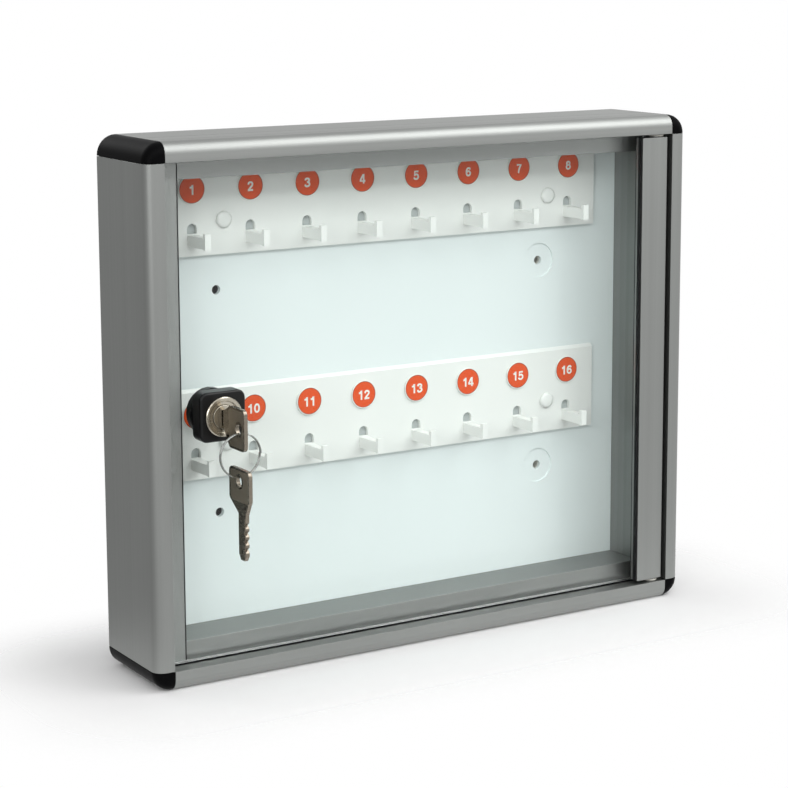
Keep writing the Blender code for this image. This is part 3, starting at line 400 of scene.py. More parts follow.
def plated_metal(name, colour):
    """Plated or polished metal with hairline scratches in two directions."""
    rough, scratch_scale, bump_height = METALS[name]
    made, recipe = new_material(name)
    level_lines = recipe.place((scratch_scale, 60.0, 60.0))
    upright_lines = recipe.place((60.0, 80.0, scratch_scale))
    first = recipe.noise(level_lines, scale=1.0, detail=3.0, roughness=0.7)
    second = recipe.noise(upright_lines, scale=1.0, detail=3.0, roughness=0.7)
    wear = recipe.noise(recipe.place(), scale=260.0, detail=3.0)
    scratches = recipe.span(first, 0.52, 0.66) * 0.5 + recipe.span(second, 0.54, 0.68) * 0.5
    base = recipe.blend(wear, shaded(colour, 0.78), colour)
    surface_rough = rough + scratches * 0.12 + wear * 0.08
    normal = recipe.bump(scratches, bump_height, strength=0.5)
    principled(recipe, base, surface_rough, normal, {"Metallic": 1.0})
    return made


def clear_glass(name, tint, rough):
    """Clear glass that lets the lamps light what stands behind it."""
    made, recipe = new_material(name)
    open_rays = recipe.ray("Is Shadow Ray") + recipe.ray("Is Diffuse Ray")
    smear = recipe.noise(recipe.place((9.0, 9.0, 4.0)), scale=1.0, detail=4.0, roughness=0.6)
    base = recipe.blend(smear, tint, WHITE)
    values = {"Base Color": base, "Roughness": rough, "IOR": GLASS_IOR, "Transmission Weight": 1.0}
    solid = recipe.node("ShaderNodeBsdfPrincipled", {}, values)
    clear = recipe.node("ShaderNodeBsdfTransparent", {}, {"Color": tint})
    recipe.finish(recipe.node("ShaderNodeMixShader", {}, {0: open_rays, 1: solid, 2: clear}))
    return made


def make_piece(name, shape, materials, smooth=True):
    """Turn a bmesh into an object of the scene."""
    mesh = bpy.data.meshes.new(name)
    shape.to_mesh(mesh)
    shape.free()
    for material in materials:
        mesh.materials.append(material)
    if smooth:
        mesh.shade_smooth()
        mesh.set_sharp_from_angle(angle=SMOOTH_ANGLE)
    made = bpy.data.objects.new(name, mesh)
    bpy.context.scene.collection.objects.link(made)
    return made


def soften(made, width, segments=EDGE_SEGMENTS):
    """Round an object's sharp edges a little."""
    bevel = made.modifiers.new("edge", "BEVEL")
    bevel.width = width
    bevel.segments = segments
    bevel.limit_method = "ANGLE"
    bevel.angle_limit = BEVEL_ANGLE
    bevel.material = -1
    weigh = made.modifiers.new("flat_faces", "WEIGHTED_NORMAL")
    weigh.mode = "FACE_AREA"
    weigh.weight = 100
    weigh.keep_sharp = True


def block(low, high):
    """Return a box between two corners as a bmesh."""
    shape = bmesh.new()
    bmesh.ops.create_cube(shape, size=1.0)
    low, high = Vector(low), Vector(high)
    shape.transform(Matrix.Translation((low + high) / 2) @ Matrix.Diagonal((*(high - low), 1)))
    return shape


def cut_across(shape, point, normal):
    """Part a bmesh's faces along a plane."""
    geometry = shape.verts[:] + shape.edges[:] + shape.faces[:]
    bmesh.ops.bisect_plane(shape, geom=geometry, dist=MERGE_DISTANCE, plane_co=point, plane_no=normal)


def sink_faces(shape, faces, border, depth):
    """Sink a field inside the border of some faces, and give it the second material."""
    bmesh.ops.inset_region(shape, faces=faces, thickness=border, depth=-depth, use_even_offset=True)
    for face in faces:
        face.material_index = 1


def copy_of_node(node):
    """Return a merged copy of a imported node's mesh as a bmesh."""
    shape = bmesh.new()
    shape.from_mesh(frame["nodes"][node].data)
    bmesh.ops.remove_doubles(shape, verts=shape.verts[:], dist=MERGE_DISTANCE)
    bmesh.ops.dissolve_limit(
        shape, angle_limit=FLAT_ANGLE, verts=shape.verts[:], edges=shape.edges[:]
    )
    for face in shape.faces:
        face.material_index = 0
    return shape


def body_of(node):
    """Return the body that carries a node."""
    for body, members in frame["record"]["behaviour"]["bodies"].items():
        if node in members:
            return body
    raise ValueError(f"no body carries {node}")


def stand_for(made, node):
    """Let a piece ride with the body that carries a node, and stand in for the node, which is hidden."""
    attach(made, body_of(node))
    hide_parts(node)


def dress_shape(node, shape, materials, edge, segments=EDGE_SEGMENTS):
    """Stand a softened shape in for a node."""
    made = make_piece(node + "_finished", shape, materials)
    soften(made, edge, segments)
    stand_for(made, node)


def dress_node(node, material, edge):
    """Stand a softened copy in for a node."""
    dress_shape(node, copy_of_node(node), [material], edge)


def dress_round_node(node, material):
    """Stand a copy in for a turned node, with its crown shaded as one curve."""
    made = make_piece(node + "_finished", copy_of_node(node), [material])
    made.data.set_sharp_from_angle(angle=CROWN_ANGLE)
    stand_for(made, node)


def round_plate(radius, thickness, segments, rim, outline, edge):
    """Return a round plate facing -Y about the origin, with a rim round a lower face.

    Material 0 is on the rim and the side, 1 on the face and 2 on the line between them.
    """
    shape = bmesh.new()
    bmesh.ops.create_circle(shape, cap_ends=True, segments=segments, radius=radius)
    shape.faces.ensure_lookup_table()
    face = shape.faces[0]
    raised = bmesh.ops.extrude_face_region(shape, geom=[face])
    top = [item for item in raised["geom"] if isinstance(item, bmesh.types.BMVert)]
    bmesh.ops.translate(shape, verts=top, vec=(0, 0, thickness))
    bmesh.ops.recalc_face_normals(shape, faces=shape.faces[:])
    rim_edges = [item for item in raised["geom"] if isinstance(item, bmesh.types.BMEdge)]
    bmesh.ops.bevel(
        shape, geom=rim_edges, offset=edge, segments=EDGE_SEGMENTS, profile=0.5,
        affect="EDGES", material=-1
    )
    front = max(shape.faces, key=lambda item: item.calc_center_median().z)
    bmesh.ops.inset_region(shape, faces=[front], thickness=rim, use_even_offset=True)
    bmesh.ops.inset_region(shape, faces=[front], thickness=edge, depth=-edge, use_even_offset=True)
    line = bmesh.ops.inset_region(shape, faces=[front], thickness=outline, use_even_offset=True)
    for face in line["faces"]:
        face.material_index = 2
    front.material_index = 1
    shape.transform(Matrix.Rotation(math.pi / 2, 4, "X"))
    return shape


def draw_stroke(curve, points, closed):
    """Add one stroke of a digit; a third value of 1 makes a point smooth and 0 a corner."""
    spline = curve.splines.new("BEZIER")
    spline.bezier_points.add(len(points) - 1)
    spline.use_cyclic_u = closed
    spline.resolution_u = STROKE_STEPS
    for point, (x, y, smooth) in zip(spline.bezier_points, points):
        point.co = (x, y, 0)
        kind = "AUTO" if smooth else "VECTOR"
        point.handle_left_type = kind
        point.handle_right_type = kind


def digit_mesh(digit, weight):
    """Return a digit one unit high as a mesh of flat-ended strokes in the plane z = 0."""
    curve = bpy.data.curves.new("digit", "CURVE")
    curve.dimensions = "3D"
    curve.bevel_depth = weight / 2
    curve.bevel_resolution = 1
    curve.use_fill_caps = True
    for points, closed in DIGITS[digit]:
        draw_stroke(curve, points, closed)
    made = bpy.data.objects.new("digit", curve)
    bpy.context.scene.collection.objects.link(made)
    bpy.context.view_layer.update()
    evaluated = made.evaluated_get(bpy.context.evaluated_depsgraph_get())
    mesh = bpy.data.meshes.new_from_object(evaluated)
    bpy.data.objects.remove(made)
    bpy.data.curves.remove(curve)
    return mesh


def number_shape(number, height, relief, weight):
    """Return a number as a bmesh in the plane y = 0, facing -Y, centred and in low relief."""
    shape = bmesh.new()
    text = str(number)
    for place, digit in enumerate(text):
        mesh = digit_mesh(digit, weight)
        mesh.transform(Matrix.Translation(((place - len(text) / 2) * DIGIT_ADVANCE, -0.5, 0)))
        shape.from_mesh(mesh)
        bpy.data.meshes.remove(mesh)
    shape.transform(Matrix.Diagonal((height, height, relief / (weight / 2), 1)))
    shape.transform(Matrix.Rotation(math.pi / 2, 4, "X"))
    bmesh.ops.recalc_face_normals(shape, faces=shape.faces[:])
    return shape


def add_shape(whole, shape, material_index):
    """Add a bmesh to another one with a material index."""
    for face in shape.faces:
        face.material_index = material_index
    mesh = bpy.data.meshes.new("part")
    shape.to_mesh(mesh)
    shape.free()
    whole.from_mesh(mesh)
    bpy.data.meshes.remove(mesh)


def a_colour(name, description, red, green, blue):
    """Return a colour setting from sRGB bytes."""
    return FloatVectorProperty(
        name=name, description=description, subtype="COLOR", size=4, default=srgb(red, green, blue)
    )


def a_length(name, description, default):
    """Return a length setting in metres."""
    return FloatProperty(
        name=name, description=description, subtype="DISTANCE", unit="LENGTH", default=default
    )


def an_angle(name, description, default):
    """Return an angle setting in radians."""
    return FloatProperty(name=name, description=description, subtype="ANGLE", default=default)


def a_number(name, description, default):
    """Return a setting that is a plain number."""
    return FloatProperty(name=name, description=description, default=default)


class CabinetFinishes(bpy.types.PropertyGroup):
    """Colours of the cabinet's materials."""

    aluminium: a_colour("Aluminium", "Colour of the anodised sections", 140, 142, 140)
    cap: a_colour("Caps", "Colour of the caps, the lock housing and the left spacers", 9, 9, 10)
    panel: a_colour("Panel", "Colour of the back panel", 234, 241, 241)
    strip: a_colour("Strips", "Colour of the hook strips", 240, 241, 238)
    disc: a_colour("Discs", "Colour of the number discs' faces", 232, 84, 30)
    disc_line: a_colour("Disc line", "Colour of the line round a disc's face", 126, 38, 26)
    number: a_colour("Numbers", "Colour of the numbers and the discs' rims", 248, 246, 240)
    glass: a_colour("Glass", "Tint of the door's glass", 251, 254, 253)
    glass_edge: a_colour("Glass edge", "Tint of the glass seen through its ground edge", 84, 104, 96)
    # This colour serves the real gasket and the dark strips that paint the shadow in the gaps round the
    # glass
    rubber: a_colour("Rubber", "Colour of the gasket and the seals", 20, 20, 21)
    nickel: a_colour("Nickel", "Colour of the lock's plated metal", 188, 182, 168)
    key: a_colour("Keys", "Colour of the keys", 138, 130, 118)
    key_field: a_colour("Key field", "Colour of the sunk field of a key's bow", 166, 156, 140)
    ring: a_colour("Ring", "Colour of the split ring", 158, 161, 158)
    steel: a_colour("Steel", "Colour of the pins, the cam and its screw", 150, 150, 152)
    nylon: a_colour("Nylon", "Colour of the hinge bushes and the right spacers", 206, 204, 196)


class CabinetSizes(bpy.types.PropertyGroup):
    """Sizes of the details that the scene adds."""

    fine_edge: a_length("Fine edge", "Rounding of metal edges", 0.00018)
    section_edge: a_length(
        "Section edge", "Rounding of the edges of the frame sections and the stop strip", 0.0005)
    key_edge: a_length("Key edge", "Rounding of the keys' edges", 0.0002)
    bow_length: a_length("Bow length", "Length of a key's bow to the end of its sunk field", 0.0195)
    bow_rim: a_length("Bow rim", "Width of the rim round a bow's sunk field", 0.0013)
    bow_sunk: a_length("Bow depth", "Depth of a bow's sunk field", 0.00025)
    blade_from: a_length("Blade start", "Distance from a key's end to the start of its groove", 0.0262)
    groove_offset: a_length("Groove place", "Distance of the groove from the blade's middle", 0.0004)
    groove_width: a_length("Groove width", "Width of the groove along the blade", 0.0016)
    groove_side: a_length("Groove side", "Slope at the side of the groove", 0.0001)
    groove_sunk: a_length("Groove depth", "Depth of the groove along the blade", 0.0004)
    wire_radius: a_length("Ring wire", "Half the thickness of the split ring's wire", 0.00045)
    groove_lift: a_length(
        "Groove lift", "How much shallower the grooves of the side sections are", 0.0004)
    plastic_edge: a_length("Plastic edge", "Rounding of moulded edges", 0.0003)
    glass_edge: a_length("Glass arris", "Ground arris of the glass", 0.0003)
    glass_gap: a_length("Glass gap", "Gap between the glass and the rebate above and below it", 0.0012)
    # The next five sizes shape the dark strips that paint the shadow in the gaps round the glass
    seal_thickness: a_length("Seal thickness", "Thickness of the dark seals", 0.0004)
    seal_width: a_length("Seal width", "Width of the seal on the stop strip's edge", 0.00045)
    seal_height: a_length("Seal height", "Height of the seal along the top", 0.0009)
    seal_behind: a_length("Seal reach", "How far the bottom seal reaches behind the glass", 0.0016)
    seal_end: a_length("Seal end", "Distance between the seals' ends and the hinge pins", 0.005)
    flange_cut: a_length("Flange cut", "How far the stile's flange behind the glass is cut back", 0.0054)
    bead_width: a_length(
        "Bead width", "How far the gasket's bead stands out of the stile's side", 0.0006)
    bead_depth: a_length("Bead depth", "Depth of the gasket's bead on the stile's side", 0.0034)
    bead_forward: a_length("Bead place", "How far the bead stands before the gasket's solid", 0.0012)
    disc_rim: a_length("Disc rim", "Width of the pale rim of a number disc", 0.0002)
    disc_line: a_length("Disc line", "Width of the dark line inside the rim", 0.00032)
    number_height: a_length("Number height", "Height of a number on a disc", 0.0055)
    number_drop: a_length("Number drop", "How far a number sits below the disc's middle", 0.0003)
    number_weight: a_number("Number weight", "Width of a digit's strokes as a share of its height", 0.2)
    disc_segments: IntProperty(
        name="Disc segments", description="Sides of a number disc", default=64)


class CabinetStage(bpy.types.PropertyGroup):
    """Studio and camera."""

    camera_place: FloatVectorProperty(
        name="Camera", description="Place of the camera",
        subtype="TRANSLATION", unit="LENGTH", default=(-0.6745, -1.0872, 0.3994))
    camera_azimuth: an_angle("Azimuth", "Turn of the view from straight on", 0.549)
    camera_pitch: an_angle("Pitch", "How far the camera looks down", 0.1631)
    camera_roll: an_angle("Roll", "Roll of the camera", -0.004)
    camera_lens: a_number("Lens", "Focal length in millimetres on a 36 mm sensor", 101.8)
    camera_shift: a_number("Shift", "Upward shift of the lens as a share of the frame", -0.1)
    floor_size: a_length("Floor", "Side of the floor", 4.0)
    floor_near: a_length(
        "Floor fade start", "Distance from the cabinet where the floor starts to fade", 0.0)
    floor_far: a_length("Floor fade end", "Distance from the cabinet where the floor has faded", 0.11)
    top_power: a_number("Top light", "Power of the light overhead in watts", 11.0)
    front_power: a_number("Front light", "Power of the light from the front in watts", 18.5)
    side_power: a_number("Side light", "Power of the light from the left in watts", 7.0)
    back_power: a_number("Back light", "Power of the light from behind in watts", 6.0)
    sky_level: a_number("Fill", "Level of the even fill light", 0.45)
    dim_side: a_number("Dim side", "Level that a mirror shows on the studio's dim side", 0.53)


class CABINET_OT_frame_sections(bpy.types.Operator):
    """Build the four aluminium frame sections and the stop strip"""

    bl_idname = "key_cabinet.frame_sections"
    bl_label = "Frame Sections"

    def execute(self, context):
        colour = context.scene.cabinet_finishes.aluminium
        sizes = context.scene.cabinet_sizes
        upright = anodised_aluminium("anodised_upright", colour, "z")
        level = anodised_aluminium("anodised_level", colour, "x")
        for node in UPRIGHT_SECTIONS:
            self.add_upright(node, upright, sizes)
        for node in LEVEL_SECTIONS:
            dress_node(node, level, sizes.section_edge)
        dress_node("stop_strip", upright, sizes.section_edge)
        return {"FINISHED"}

    @staticmethod
    def add_upright(node, material, sizes):
        """Stand a section in for an upright one, with its two outer grooves made shallow."""
        shape = copy_of_node(node)
        outside = max(abs(corner.x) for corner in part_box(node))
        for vertex in shape.verts:
            depth = outside - abs(vertex.co.x)
            if abs(depth - GROOVE_DEPTH) < MERGE_DISTANCE and vertex.co.y > GROOVE_FROM:
                vertex.co.x += math.copysign(sizes.groove_lift, vertex.co.x)
        dress_shape(node, shape, [material], sizes.section_edge)


class CABINET_OT_corner_caps(bpy.types.Operator):
    """Build the four black corner caps"""

    bl_idname = "key_cabinet.corner_caps"
    bl_label = "Corner Caps"

    def execute(self, context):
        edge = context.scene.cabinet_sizes.fine_edge
        material = moulded_plastic("cap_plastic", context.scene.cabinet_finishes.cap)
        for corner in CAPS:
            dress_node("corner_cap_" + corner, material, edge)
        return {"FINISHED"}


class CABINET_OT_back_panel(bpy.types.Operator):
    """Build the back panel and the spacers behind it"""

    bl_idname = "key_cabinet.back_panel"
    bl_label = "Back Panel"

    def execute(self, context):
        finishes = context.scene.cabinet_finishes
        edge = context.scene.cabinet_sizes.fine_edge
        # The strips' boxes mark where the panel gets its painted shade
        covered = [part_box(strip) for strip in STRIPS]
        low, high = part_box("back_panel")
        sheet = gloss_sheet("panel_sheet", finishes.panel, covered, (low.y + high.y) / 2)
        dress_node("back_panel", sheet, edge)
        dark = moulded_plastic("spacer_dark", finishes.cap)
        light = moulded_plastic("spacer_light", finishes.nylon)
        for side in SIDES:
            material, slot = (dark, "black_plastic") if "left" in side else (light, "beige_plastic")
            dress_node("wall_spacer_" + side, material, edge)
        return {"FINISHED"}


class CABINET_OT_hook_strips(bpy.types.Operator):
    """Build the hook strips and their rivets"""

    bl_idname = "key_cabinet.hook_strips"
    bl_label = "Hook Strips"

    def execute(self, context):
        edge = context.scene.cabinet_sizes.plastic_edge
        material = moulded_plastic("strip_plastic", context.scene.cabinet_finishes.strip)
        for strip in STRIPS:
            dress_node(strip, material, edge)
        for side in SIDES:
            dress_round_node("strip_rivet_" + side, material)
        return {"FINISHED"}


class CABINET_OT_number_discs(bpy.types.Operator):
    """Build the sixteen number discs"""

    bl_idname = "key_cabinet.number_discs"
    bl_label = "Number Discs"

    def execute(self, context):
        finishes = context.scene.cabinet_finishes
        sizes = context.scene.cabinet_sizes
        rim = printed_face("disc_rim", finishes.number)
        face = printed_face("disc_face", finishes.disc)
        line = printed_face("disc_line", finishes.disc_line)
        ink = printed_face("disc_number", finishes.number)
        for number in range(1, DISC_COUNT + 1):
            node = f"number_disc_{number:02d}"
            low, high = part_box(node)
            centre = (low + high) / 2
            thickness = high.y - low.y
            radius = (high.x - low.x) / 2
            drop = thickness * DISC_RELIEF
            shape = round_plate(
                radius, thickness, sizes.disc_segments, sizes.disc_rim, sizes.disc_line, drop
            )
            text = number_shape(number, sizes.number_height, drop, sizes.number_weight)
            text.transform(Matrix.Translation((0, drop - thickness, -sizes.number_drop)))
            add_shape(shape, text, 3)
            shape.transform(Matrix.Translation((centre.x, high.y, centre.z)))
            made = make_piece(node + "_finished", shape, [rim, face, line, ink])
            stand_for(made, node)
        return {"FINISHED"}


class CABINET_OT_door_glass(bpy.types.Operator):
    """Build the glass pane with ground edges"""

    bl_idname = "key_cabinet.door_glass"
    bl_label = "Door Glass"

    def execute(self, context):
        finishes = context.scene.cabinet_finishes
        pane = clear_glass("door_glass", finishes.glass, rough=0.0)
        edge = clear_glass("glass_ground_edge", finishes.glass_edge, GROUND_ROUGH)
        shape = copy_of_node("glass_pane")
        for face in shape.faces:
            face.normal_update()
            face.material_index = 0 if abs(face.normal.y) > GLASS_FACE else 1
        width = context.scene.cabinet_sizes.glass_edge
        dress_shape("glass_pane", shape, [pane, edge], width, segments=1)
        return {"FINISHED"}


class CABINET_OT_seals(bpy.types.Operator):
    """Build thin dark strips that the door's glass closes on: painted shadow in the gaps round the glass
    """

    bl_idname = "key_cabinet.seals"
    bl_label = "Seals"

    def execute(self, context):
        sizes = context.scene.cabinet_sizes
        glass_low, glass_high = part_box("glass_pane")
        strip_low, strip_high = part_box("stop_strip")
        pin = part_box("hinge_pin_top")[0]
        rebate = glass_low.z - sizes.glass_gap
        head = glass_high.z + sizes.glass_gap
        ledge = strip_high.y
        thin = sizes.seal_thickness
        rubber = moulded_plastic("seal_rubber", context.scene.cabinet_finishes.rubber)
        sill = (
            (strip_low.x, glass_low.y + thin, rebate - SHADOW_STRIP_BED),
            (pin.x - sizes.seal_end, glass_high.y + sizes.seal_behind, rebate + thin),
        )
        top = (
            (strip_high.x, ledge - thin, head - sizes.seal_height),
            (pin.x - sizes.seal_end, ledge + 2 * thin, head + SHADOW_STRIP_BED),
        )
        edge = (
            (strip_high.x - sizes.seal_width, strip_low.y - thin, glass_low.z),
            (strip_high.x, strip_low.y + thin, glass_high.z),
        )
        # Each strip is a dark piece put where the gap round the glass lies in shade: painted shadow
        for name, (low, high) in (("sill_seal", sill), ("head_seal", top), ("stop_seal", edge)):
            made = make_piece(name, block(low, high), [rubber])
            soften(made, thin / 4, segments=1)
            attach(made, "cabinet")
        return {"FINISHED"}


class CABINET_OT_hinge(bpy.types.Operator):
    """Build the hinge stile, its gasket, pins and bushes"""

    bl_idname = "key_cabinet.hinge"
    bl_label = "Hinge"

    def execute(self, context):
        finishes = context.scene.cabinet_finishes
        sizes = context.scene.cabinet_sizes
        self.add_stile(finishes, sizes)
        self.add_gasket(finishes, sizes)
        steel = plated_metal("pin_steel", finishes.steel)
        nylon = moulded_plastic("bush_nylon", finishes.nylon)
        for end in ("top", "bottom"):
            dress_node("hinge_pin_" + end, steel, sizes.fine_edge)
            dress_node("hinge_bush_" + end, nylon, sizes.fine_edge)
        return {"FINISHED"}

    @staticmethod
    def add_stile(finishes, sizes):
        """Stand a stile in for the node, with a short flange behind the glass."""
        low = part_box("hinge_stile")[0]
        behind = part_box("glass_pane")[1].y
        shape = copy_of_node("hinge_stile")
        flange = [
            vertex for vertex in shape.verts
            if vertex.co.x < low.x + MERGE_DISTANCE and vertex.co.y > behind
        ]
        bmesh.ops.translate(shape, verts=flange, vec=(sizes.flange_cut, 0, 0))
        metal = anodised_aluminium("anodised_stile", finishes.aluminium, "z")
        dress_shape("hinge_stile", shape, [metal], sizes.fine_edge)

    @staticmethod
    def add_gasket(finishes, sizes):
        """Stand a gasket in for the node: a lining in the slot and a bead on the stile's side."""
        low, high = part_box("stile_gasket")
        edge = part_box("hinge_stile")[0].x
        glass_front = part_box("glass_pane")[0].y
        shape = copy_of_node("stile_gasket")
        slot_from = edge + sizes.flange_cut / 2
        slot = [vertex.co.y for vertex in shape.verts if vertex.co.x > slot_from]
        for vertex in shape.verts:
            if vertex.co.x < slot_from:
                setback = sizes.fine_edge if vertex.co.y < glass_front else sizes.flange_cut
                vertex.co.x = edge + setback
                vertex.co.y = min(max(vertex.co.y, min(slot)), max(slot))
        bmesh.ops.remove_doubles(shape, verts=shape.verts[:], dist=MERGE_DISTANCE)
        front = low.y - sizes.bead_forward
        bead_low = (edge - sizes.bead_width, front, low.z)
        add_shape(shape, block(bead_low, (edge, front + sizes.bead_depth, high.z)), 0)
        rubber = moulded_plastic("gasket_rubber", finishes.rubber)
        dress_shape("stile_gasket", shape, [rubber], sizes.plastic_edge)


class CABINET_OT_lock(bpy.types.Operator):
    """Build the cam lock"""

    bl_idname = "key_cabinet.lock"
    bl_label = "Lock"

    def execute(self, context):
        finishes = context.scene.cabinet_finishes
        sizes = context.scene.cabinet_sizes
        black = moulded_plastic("housing_plastic", finishes.cap)
        dress_node("lock_housing", black, sizes.plastic_edge)
        nickel = plated_metal("lock_nickel", finishes.nickel)
        for node in ("lock_cylinder", "lock_plug"):
            dress_node(node, nickel, sizes.fine_edge)
        dress_node("rear_nut", black, sizes.plastic_edge)
        steel = plated_metal("cam_steel", finishes.steel)
        for node in ("lock_cam", "cam_screw"):
            dress_node(node, steel, sizes.fine_edge)
        return {"FINISHED"}


class CABINET_OT_keys(bpy.types.Operator):
    """Build the two keys and the ring"""

    bl_idname = "key_cabinet.keys"
    bl_label = "Keys"

    def execute(self, context):
        finishes = context.scene.cabinet_finishes
        sizes = context.scene.cabinet_sizes
        metal = plated_metal("key_metal", finishes.key)
        field = plated_metal("key_field", finishes.key_field)
        self.add_key("key_in_lock", [metal, field], sizes, Vector((0, 1, 0)))
        self.add_key("spare_key", [metal, field], sizes, Vector((0, 0, -1)))
        self.add_ring(plated_metal("ring_steel", finishes.ring), sizes)
        return {"FINISHED"}

    @staticmethod
    def add_key(node, materials, sizes, ahead):
        """Stand a key in for the node, with a sunk field on both sides of its bow and a groove."""
        shape = copy_of_node(node)
        low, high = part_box(node)
        centre = (low + high) / 2
        across = Vector((0, ahead.z, -ahead.y))
        start = centre - ahead * abs((high - low).dot(ahead)) / 2
        for distance in (sizes.bow_length, sizes.blade_from):
            cut_across(shape, start + ahead * distance, ahead)
        blade = Vector((0, 0, 0))
        tips = [vertex.co for vertex in shape.verts if (vertex.co - start).dot(ahead) > sizes.blade_from]
        for tip in tips:
            blade += tip / len(tips)
        for offset in (sizes.groove_offset, sizes.groove_offset + sizes.groove_width):
            cut_across(shape, blade + across * offset, across)
        flats = [face for face in shape.faces if abs(face.normal.x) > KEY_FLAT]
        bow = []
        groove = []
        for face in flats:
            middle = face.calc_center_median()
            along = (middle - start).dot(ahead)
            aside = (middle - blade).dot(across)
            if along < sizes.bow_length:
                bow.append(face)
            elif along > sizes.blade_from and 0 < aside - sizes.groove_offset < sizes.groove_width:
                groove.append(face)
        sink_faces(shape, bow, sizes.bow_rim, sizes.bow_sunk)
        sink_faces(shape, groove, sizes.groove_side, sizes.groove_sunk)
        dress_shape(node, shape, materials, sizes.key_edge)

    @staticmethod
    def add_ring(material, sizes):
        """Stand a split ring of two turns of wire in for the node."""
        low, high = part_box("key_ring")
        centre = (low + high) / 2
        wire = sizes.wire_radius
        radius = (high.x - low.x) / 2 - (high.y - low.y) / 2
        shape = bmesh.new()
        bmesh.ops.create_circle(shape, cap_ends=False, segments=WIRE_SEGMENTS, radius=wire)
        rise = wire * 2 * RING_TURNS
        shape.transform(Matrix.Translation((centre.x + radius, centre.y + rise / 2, centre.z)))
        steps = RING_STEPS * RING_TURNS
        bmesh.ops.spin(
            shape, geom=shape.edges[:], cent=centre, axis=(0, 1, 0), dvec=(0, -rise / steps, 0),
            angle=math.tau * RING_TURNS, steps=steps, use_merge=False
        )
        bmesh.ops.holes_fill(shape, edges=[edge for edge in shape.edges if edge.is_boundary])
        bmesh.ops.recalc_face_normals(shape, faces=shape.faces[:])
        ring = make_piece("key_ring_finished", shape, [material])
        stand_for(ring, "key_ring")


def area_light(name, place, width, depth, power):
    """Add a soft rectangular light that faces the cabinet."""
    lamp = bpy.data.lights.new(name, "AREA")
    lamp.shape = "RECTANGLE"
    lamp.size = width
    lamp.size_y = depth
    lamp.energy = power
    made = bpy.data.objects.new(name, lamp)
    made.location = place
    ahead = Vector(LIGHT_TARGET) - Vector(place)
    made.rotation_euler = ahead.to_track_quat("-Z", "Y").to_euler()
    bpy.context.scene.collection.objects.link(made)


def greater(first, second):
    """Return the greater of two values."""
    return first.maths("MAXIMUM", first, second)


def seen_rays(recipe):
    """Return 1 for the rays that show the background straight on or through glass."""
    return greater(recipe.ray("Is Camera Ray"), recipe.ray("Is Transmission Ray"))


def studio_world(scene, fill, dim):
    """White studio for the rays that see it, dimmer to a mirror on one side, and an even fill."""
    world = bpy.data.worlds.new("studio")
    world.use_nodes = True
    scene.world = world
    recipe = Recipe(world.node_tree)
    way = recipe.node("ShaderNodeTexCoord", output="Generated")
    side = recipe.node(
        "ShaderNodeVectorMath", {"operation": "DOT_PRODUCT"}, {0: way, 1: BRIGHT_SIDE}, output="Value"
    )
    level = recipe.span(side, DIM_UP_TO, BRIGHT_FROM, (dim, 1.0), soft=True)
    shown = greater(seen_rays(recipe), recipe.ray("Is Glossy Ray") * level)
    colour = {"Color": WHITE, "Strength": greater(shown, fill)}
    background = recipe.node("ShaderNodeBackground", {}, colour)
    recipe.node("ShaderNodeOutputWorld", {}, {"Surface": background})


def floor_material(half_width, half_depth, near, far):
    """Pale floor that keeps the shadow beside the cabinet and fades into the white studio."""
    made, recipe = new_material("floor_paper")
    own = recipe.own()
    beside = []
    for axis, half in (("X", half_width), ("Y", half_depth)):
        place = recipe.along(own, axis)
        beside.append(greater(place.maths("ABSOLUTE", place) - half, 0.0))
    square = beside[0] * beside[0] + beside[1] * beside[1]
    faded = recipe.span(square.maths("SQRT", square), near, far, soft=True)
    fibre = recipe.noise(own, scale=900.0, detail=2.0)
    dark, light = [(tone, tone, tone, 1.0) for tone in FLOOR_TONES]
    paper = recipe.node("ShaderNodeBsdfDiffuse", {}, {"Color": recipe.blend(fibre, dark, light)})
    shown = greater(seen_rays(recipe) * FLOOR_GLOW, recipe.ray("Is Glossy Ray") * FLOOR_SHEEN)
    glow = recipe.node("ShaderNodeEmission", {}, {"Strength": shown})
    lit = recipe.node("ShaderNodeAddShader", {}, {0: paper, 1: glow})
    clear = recipe.node("ShaderNodeBsdfTransparent")
    recipe.finish(recipe.node("ShaderNodeMixShader", {}, {0: faded, 1: lit, 2: clear}))
    return made


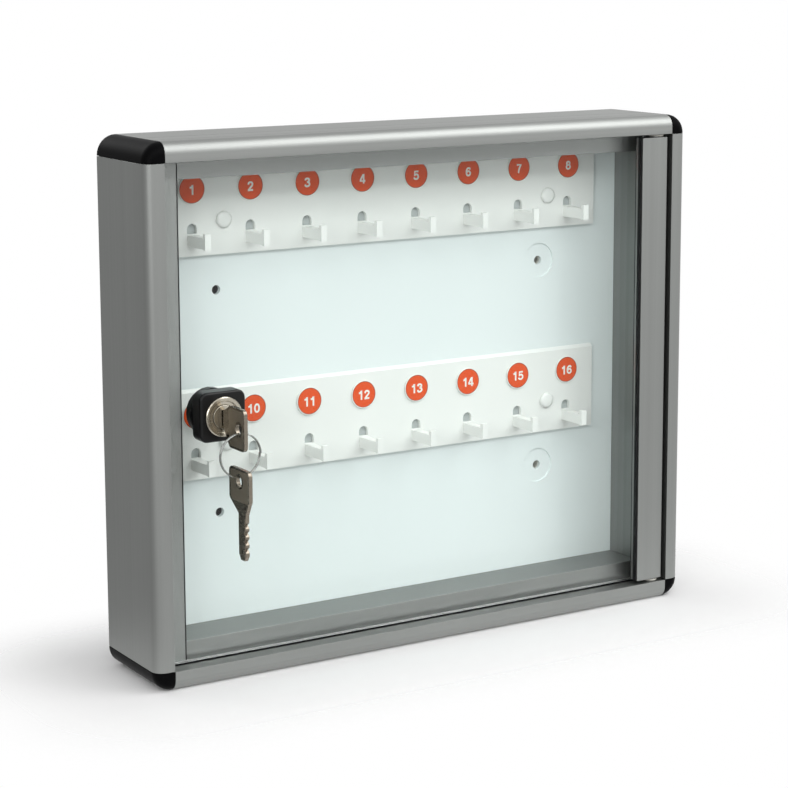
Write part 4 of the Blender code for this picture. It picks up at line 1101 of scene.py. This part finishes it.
class CABINET_OT_stage(bpy.types.Operator):
    """Set up the floor, the soft lights and the camera"""

    bl_idname = "key_cabinet.stage"
    bl_label = "Stage"

    def execute(self, context):
        scene = context.scene
        stage = scene.cabinet_stage
        scene.view_settings.view_transform = "Standard"
        studio_world(scene, stage.sky_level, stage.dim_side)
        floor = bmesh.new()
        bmesh.ops.create_grid(floor, x_segments=1, y_segments=1, size=stage.floor_size / 2)
        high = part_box("frame_right")[1]
        paper = floor_material(high.x, high.y, stage.floor_near, stage.floor_far)
        made = make_piece("floor", floor, [paper], smooth=False)
        for name, (place, width, depth, setting) in LIGHTS.items():
            area_light(name, place, width, depth, getattr(stage, setting))
        self.add_camera(scene, stage)
        return {"FINISHED"}

    @staticmethod
    def add_camera(scene, stage):
        """Add the camera at the photograph's viewing angle."""
        lens = bpy.data.cameras.new("camera")
        lens.lens = stage.camera_lens
        lens.shift_y = stage.camera_shift
        lens.clip_start = CLIP_START
        lens.clip_end = CLIP_END
        made = bpy.data.objects.new("camera", lens)
        scene.collection.objects.link(made)
        turn = Matrix.Rotation(-stage.camera_azimuth, 4, "Z")
        tilt = Matrix.Rotation(math.pi / 2 - stage.camera_pitch, 4, "X")
        roll = Matrix.Rotation(stage.camera_roll, 4, "Z")
        made.matrix_world = Matrix.Translation(stage.camera_place) @ turn @ tilt @ roll
        scene.camera = made


class CABINET_PT_panel(bpy.types.Panel):
    """Sidebar panel that lists the building steps"""

    bl_idname = "CABINET_PT_panel"
    bl_label = "Key Cabinet"
    bl_space_type = "VIEW_3D"
    bl_region_type = "UI"
    bl_category = "Key Cabinet"

    def draw(self, context):
        layout = self.layout
        for operator in OPERATORS:
            layout.operator(operator.bl_idname)
        for group in GROUPS:
            settings = getattr(context.scene, group)
            box = layout.box()
            for name in settings.__annotations__:
                box.prop(settings, name)


OPERATORS = (
    CABINET_OT_stage,
    CABINET_OT_frame_sections,
    CABINET_OT_corner_caps,
    CABINET_OT_back_panel,
    CABINET_OT_hook_strips,
    CABINET_OT_number_discs,
    CABINET_OT_door_glass,
    CABINET_OT_seals,
    CABINET_OT_hinge,
    CABINET_OT_lock,
    CABINET_OT_keys,
)
GROUPS = {
    "cabinet_finishes": CabinetFinishes,
    "cabinet_sizes": CabinetSizes,
    "cabinet_stage": CabinetStage,
}
CLASSES = (*GROUPS.values(), *OPERATORS, CABINET_PT_panel)


def register():
    """Register the classes and hang the settings on the scene."""
    for item in CLASSES:
        bpy.utils.register_class(item)
    for name, group in GROUPS.items():
        setattr(bpy.types.Scene, name, PointerProperty(type=group))


def unregister():
    """Remove the settings and the classes."""
    for name in GROUPS:
        delattr(bpy.types.Scene, name)
    for item in reversed(CLASSES):
        bpy.utils.unregister_class(item)


def main():
    """Build everything."""
    register()
    bpy.ops.key_cabinet.stage()
    bpy.ops.key_cabinet.frame_sections()
    bpy.ops.key_cabinet.corner_caps()
    bpy.ops.key_cabinet.back_panel()
    bpy.ops.key_cabinet.hook_strips()
    bpy.ops.key_cabinet.number_discs()
    bpy.ops.key_cabinet.door_glass()
    bpy.ops.key_cabinet.seals()
    bpy.ops.key_cabinet.hinge()
    bpy.ops.key_cabinet.lock()
    bpy.ops.key_cabinet.keys()


if __name__ == "__main__":
    main()
